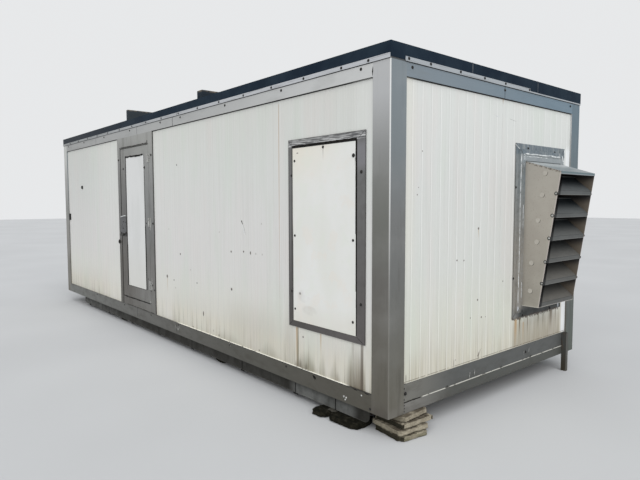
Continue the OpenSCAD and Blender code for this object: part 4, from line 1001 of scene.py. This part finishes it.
colour = colour.coat(
    (chalk.rise(0.4, 0.75) * 0.35, (0.41, 0.385, 0.335)),
    (spatter.rise(0.58, 0.72) * 0.35, (0.165, 0.145, 0.115)),
    (reach.rise(0.169, 0.1735) * 0.55, (0.49, 0.44, 0.41)),
    # Painted shade on the cheek's back strip, for the facet that turns away at its crease.
    (x.rise(post_high.x + 0.055, post_high.x + 0.012) * 0.35, (0.15, 0.138, 0.118)),
    (foot_line * 0.6, (0.48, 0.46, 0.41)),
    (rust * spatter.rise(0.4, 0.55) * 0.7, (0.22, 0.15, 0.1)),
    (roof_line * spatter.rise(0.45, 0.52) * 0.7, (0.06, 0.05, 0.04)),
    # Painted light: the zinc roof is lightened near the wall against the flange's shade.
    (zinc_top, x.rise(4.06, 3.92).over((0.18, 0.21, 0.222), (0.39, 0.415, 0.42))),
    (nose, z.rise(2.06, 2.052).over((0.11, 0.155, 0.168), (0.25, 0.275, 0.29))),
    (inside * 0.85, (0.095, 0.074, 0.052)),
    # Painted shadow: the far cheek's inside is near-black just under each blade.
    (inside * under_lip * 0.8, (0.012, 0.013, 0.017)),
    # Painted shade: deep inside the hood goes near-black, and so do all undersides.
    (deep * (1.0 - zinc_top) * 0.9, (0.012, 0.013, 0.014)),
    (facing(place, "z").rise(-0.4, -0.8), 0.004))
set_finish(beige, colour, (1.0 - zinc_top * 0.3) * 0.6, zinc_top * 0.3, height=spatter, depth=0.0006)
dress(beige, "cowl_hood")
# The dimples are painted paler than the cheek as a painted highlight, and dark arcs on their lower side are
# painted shade.
dimple_highlight_paint = mottled("dimple_highlight_paint", 0.02, 2, (0.3, 0.7), (0.39, 0.362, 0.318), (0.44, 0.412, 0.366), 0.5)
dimple_radius = 0.022
shade_radius = 0.0235
bm = bmesh.new()
arcs = bmesh.new()
for reach, up in (
        (0.211, 1.882), (0.187, 1.683), (0.153, 1.448), (0.147, 1.247), (0.1, 1.047), (0.094, 0.781)):
    for side, way in ((hood_low.y, -1), (hood_high.y, 1)):
        middle = Vector((post_high.x + reach, side, post_low.z + up))
        at = Matrix.Translation(middle) @ Vector((0, way, 0)).to_track_quat("Z", "Y").to_matrix().to_4x4()
        made = bmesh.ops.create_circle(bm, cap_ends=True, segments=20, radius=dimple_radius, matrix=at)
        disc = made["verts"][0].link_faces[0]
        for thickness, depth in ((0.006, 0.002), (0.006, 0.0008), (0.006, -0.0005)):
            bmesh.ops.inset_region(bm, faces=[disc], thickness=thickness, depth=depth)
        for turn in range(5):
            angle = math.radians(-75 + 18 * turn)
            after = math.radians(-57 + 18 * turn)
            ring = Vector((math.cos(angle), 0, math.sin(angle))) * shade_radius
            onward = Vector((math.cos(after), 0, math.sin(after))) * shade_radius
            add_bead(arcs, Vector((0, way, 0)), middle + ring, middle + onward, 0.005, 0.0006, 0.1)
add_piece("cheek_dimples", bm, dimple_highlight_paint, smooth=50)
add_piece("dimple_shades", arcs, seam_and_painted_shade)
bm = bmesh.new()
rims = bmesh.new()
rim_radius = 0.017
for reach, up in ((0.318, 1.694), (0.288, 1.495), (0.263, 1.286), (0.234, 1.066), (0.205, 0.863)):
    for side, way in ((hood_low.y, FRONT), (hood_high.y, -FRONT)):
        spot = Vector((post_high.x + reach, side, post_low.z + up))
        at = Matrix.Translation(spot + way * 0.0006) @ way.to_track_quat("Z", "Y").to_matrix().to_4x4()
        bmesh.ops.create_circle(rims, cap_ends=True, segments=16, radius=rim_radius, matrix=at)
        add_screw(bm, spot, way, 0.011)
add_piece("blade_bolts", bm, bare_steel)
add_piece("bolt_rims", rims, seam_and_painted_shade)

# Louvre blades: six slanted strips of dark sheet between the cheeks, each with a turned-down front
# lip. The lips' lower edges are paler. The slopes darken into the hood, the undersides are near-black
# and a band where the blades meet the cheek is black, all as painted shade.
blade_paint, place = start_material("blade_paint")
x, y, z = split_axes(place)
dust = grain(place, 0.08, 3, (1, 3, 1))
inward = (z - cheek_foot) * cheek_lean - x + (post_high.x + 0.18)
blades_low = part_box("cowl_blades")[0]
lip_height = ((z - blades_low.z + 0.001) / blade_pitch).math("FRACT") * blade_pitch
colour = z.rise(1.9, 0.9).over((0.073, 0.081, 0.083), (0.103, 0.098, 0.087))
upper = z.rise(1.2, 1.9, 0.35, 0.9)
lip = facing(place, "x").rise(0.85, 0.97)
colour = colour.coat(
    (dust.rise(0.4, 0.7) * 0.3, (0.05, 0.05, 0.048)),
    # Painted shade: the slopes darken inward, under the blade above.
    (inward.rise(0.045, 0.155) * upper, (0.01, 0.016, 0.02)),
    (lip * 0.6, (0.072, 0.076, 0.074)),
    (lip_height.rise(0.006, 0.0035) * lip * 0.8, (0.17, 0.172, 0.168)),
    (lip_height.band(0.036, 0.041, 0.001) * 0.7, (0.024, 0.025, 0.025)),
    # Painted shade on the undersides, and a painted contact shadow where the blades meet the cheek.
    (facing(place, "z").rise(-0.3, -0.6), 0.004),
    ((y - blades_low.y - inward * 2.0).rise(0.056, 0.046) * 0.95, 0.004))
set_finish(blade_paint, colour, dust.rise(0.3, 0.7, 0.5, 0.65), specular=0.35)
dress(blade_paint, "cowl_blades")

# Door surround: steel stiles as thick as the wall, a head panel with a drip strip and a threshold,
# painted grey like the leaf. The strip's end is bent up and the foot is dented and scuffed. The gap
# round the leaf, the stops, a line under the drip strip and a bar in the lock-side gap are painted shade.
surround_low, surround_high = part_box("door_frame")
leaf_low, leaf_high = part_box("door_leaf")
panel_low, panel_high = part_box("door_panel")
door_paint, place = start_material("door_paint")
x, y, z = split_axes(place)
cloud = grain(place, 0.12, 3, (1, 1, 2.5))
rub = grain(place, 0.03, 3)
height = (z - 0.2) / 2.6
lock_side = x.rise(panel_high.x, panel_low.x)
hinge = height.ramp(
    (0.0, 0.1, 0.094, 0.082), (0.12, 0.165, 0.162, 0.152), (0.3, 0.146, 0.141, 0.132),
    (0.45, 0.15, 0.15, 0.147), (0.65, 0.2, 0.202, 0.197), (0.82, 0.235, 0.236, 0.228),
    (0.9, 0.275, 0.275, 0.258), (1.0, 0.3, 0.3, 0.285))
lock = height.ramp(
    (0.0, 0.09, 0.085, 0.075), (0.12, 0.096, 0.089, 0.079), (0.3, 0.091, 0.083, 0.073),
    (0.45, 0.099, 0.096, 0.091), (0.62, 0.117, 0.115, 0.111), (0.8, 0.172, 0.17, 0.163),
    (0.9, 0.235, 0.235, 0.222), (1.0, 0.3, 0.3, 0.285))
colour = lock_side.over(hinge, lock)
rims = x.rise(surround_high.x - 0.009, surround_high.x - 0.003) * 0.7
rims = rims + x.rise(surround_low.x + 0.012, surround_low.x + 0.004)
streaks = drip_mask(place, on_side, ((5.16, 0.62, 0.3, 0.02), (5.08, 0.5, 0.22, 0.016)), rub)
# Painted shade: the surround's faces inside the gap round the leaf go near-black.
beside = x.rise(leaf_low.x - 0.001, leaf_low.x - 0.003) + x.rise(leaf_high.x + 0.001, leaf_high.x + 0.003)
beside = beside + z.rise(leaf_high.z + 0.001, leaf_high.z + 0.003)
gap = y.band(leaf_low.y + 0.005, leaf_high.y, 0.002) * beside
colour = colour.coat(
    (cloud.rise(0.5, 0.75) * 0.3, (0.08, 0.076, 0.066)),
    (rub.rise(0.62, 0.75) * 0.3, (0.3, 0.29, 0.27)),
    (rims * 0.65, (0.04, 0.038, 0.034)),
    (streaks * 0.5, (0.035, 0.031, 0.026)),
    (gap * 0.9, 0.01))
set_finish(door_paint, colour, cloud.rise(0.3, 0.7, 0.45, 0.6), specular=0.4)
dress(door_paint, "door_frame", "door_head", "door_threshold", "door_leaf")
dress(bare_steel, "hinge_pins", "hinge_leaves")
# The door stops take the near-black as painted shade.
dress(seam_and_painted_shade, "door_stops")
bm = bmesh.new()
add_screws(bm, on_side, (
    (5.3, 2.235, 0.016), (5.12, 2.1, 0.016), (4.376, 2.085, 0.019), (4.155, 2.235, 0.017),
    (4.137, 1.345, 0.017), (4.185, 0.525, 0.013), (4.129, 0.466, 0.013)))
add_piece("door_frame_screws", bm, dark_steel)
bm = bmesh.new()
add_beads(bm, on_side, ((4.283, 2.38, 4.262, 2.438, 0.009, 0.003),), 0.002)
# Painted shadow under the drip strip and in the lock-side gap.
add_beads(bm, on_side, ((5.215, 2.399, 4.25, 2.395, 0.009, 0.0008, 0.5),), 0.014)
add_bar(bm, on_side(5.241, 0.145, -0.001), on_side(5.222, 2.39, 0.0006))
add_beads(bm, on_side, (
    (5.1, 0.154, 4.14, 0.15, 0.006, 0.0008, 0.5), (4.725, 0.148, 4.73, 0.02, 0.006, 0.0008, 0.4)))
add_beads(bm, on_side, [(back, up, back - 0.012, up - 0.022, 0.016, 0.001)
                        for back, up in ((4.249, 0.533), (4.244, 0.451), (4.272, 0.124), (4.327, 0.604))])
add_piece("surround_seams", bm, seam_and_painted_shade)
bm = bmesh.new()
scuffs = (
    (4.24, 1.43, 4.222, 1.36, 0.03), (4.238, 1.305, 4.218, 1.255, 0.026), (4.222, 0.62, 4.205, 0.56, 0.02),
    (4.27, 0.31, 4.262, 0.262, 0.016))
add_beads(bm, on_side, [(*scuff, 0.0008, 0.6) for scuff in scuffs])
add_piece("surround_scuffs", bm, bare_steel)

# Door panel: a white sheet let into the leaf, held by a slim bead all round. Dark strips run
# along the hinge side and under the top member.
white_sheet, place = start_material("door_sheet")
wash = grain(place, 0.3, 2, (1, 1, 3))
z = split_axes(place)[2]
colour = wash.rise(0.35, 0.65).over((0.615, 0.618, 0.606), (0.655, 0.656, 0.646))
colour = (z.rise(1.4, 0.6) * 0.6).over(colour, (0.61, 0.6, 0.55))
set_finish(white_sheet, colour, 0.5)
dress(white_sheet, "door_panel")
bm = bmesh.new()
for left, right, low, high in (
        (panel_low.x, panel_low.x + 0.02, panel_low.z, 1.2),
        (panel_low.x, panel_low.x + 0.013, 1.2, panel_high.z),
        (panel_high.x - 0.004, panel_high.x, panel_low.z, panel_high.z),
        (panel_low.x + 0.02, panel_high.x - 0.004, panel_low.z, panel_low.z + 0.004)):
    add_bar(bm, (left, leaf_low.y + 0.001, low), (right, panel_low.y + 0.002, high))
add_bar(bm, on_side(4.3975, 0.44, -0.001), on_side(4.366, 1.31, 0.0008))
add_beads(bm, on_side, (
    (4.376, 1.3, 4.39, 2.25, 0.012, 0.001), (5.055, 2.262, 4.405, 2.262, 0.019, 0.001, 0.5),
    (5.2, 0.262, 4.262, 0.262, 0.012, 0.0008, 0.4), (4.346, 1.352, 4.346, 1.335, 0.022, 0.002, 0.2)))
add_piece("door_panel_bead", bm, seam_and_painted_shade, body="door")

# Door furniture: a wide mottled plate that laps over the stile, with a dark lever and rose at its
# foot and a painted highlight along its top edge, and a black knob on the stile below it.
handle_low, handle_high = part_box("door_handle")
iron, place = start_material("lock_iron")
x, y, z = split_axes(place)
touch = grain(place, 0.03, 3)
colour = touch.rise(0.35, 0.7).over((0.052, 0.053, 0.056), (0.11, 0.11, 0.112))
dark_edge = x.rise(handle_low.x + 0.016, handle_low.x + 0.006)
dark_edge = dark_edge + x.rise(handle_high.x - 0.016, handle_high.x - 0.006)
colour = colour.coat(
    (touch.rise(0.46, 0.36) * 0.8, (0.02, 0.02, 0.022)),
    (touch.rise(0.62, 0.7) * 0.5, (0.26, 0.26, 0.265)),
    (dark_edge * 0.8, (0.035, 0.034, 0.034)),
    (z.rise(handle_high.z - 0.022, handle_high.z - 0.014) * 0.7, 0.05),
    (z.rise(handle_low.z + 0.045, handle_low.z + 0.03) * 0.8, 0.01),
    (y.rise(leaf_low.y - 0.0042, leaf_low.y - 0.005), (0.012, 0.013, 0.01)))
set_finish(iron, colour, touch.rise(0.3, 0.7, 0.4, 0.6))
dress(iron, "door_handle")
bm = bmesh.new()
add_screws(bm, on_side, (
    (5.15, 1.345, 0.009), (5.2, 1.3, 0.007), (5.06, 1.335, 0.009), (5.17, 1.25, 0.01), (5.065, 1.185, 0.018),
    (5.235, 1.18, 0.015), (5.2, 1.158, 0.018), (5.12, 1.165, 0.018)), 0.004)
add_piece("lock_screws", bm, dark_steel, body="door")
bm = bmesh.new()
# A pale bead along the plate's top edge is a painted highlight.
add_beads(bm, on_side, ((5.272, 1.411, 5.06, 1.437, 0.014, 0.006),))
add_piece("plate_top_highlight", bm, sealant_and_highlight, body="door")
bm = bmesh.new()
spot = on_side(5.312, 1.049, 0.012)
knob = Matrix.Translation(spot) @ Matrix.Diagonal((0.015, 0.014, 0.032, 1.0))
bmesh.ops.create_uvsphere(bm, u_segments=16, v_segments=10, radius=1.0, matrix=knob)
stem = Matrix.Translation(on_side(5.312, 1.049, 0.004)) @ Matrix.Rotation(math.radians(90), 4, "X")
bmesh.ops.create_cone(bm, cap_ends=True, segments=16, radius1=0.01, radius2=0.01, depth=0.01, matrix=stem)
add_piece("stile_knob", bm, dark_steel, smooth=50)

# Vent and cable inlet: small black plastic fittings at the far end of the door side. The vent is
# round and the inlet is a small box.
plastic = mottled("black_plastic", 0.05, 3, (0.3, 0.7), 0.004, (0.014, 0.013, 0.012), 0.7, specular=0.2)
dress(plastic, "wall_vent", "cable_inlet")
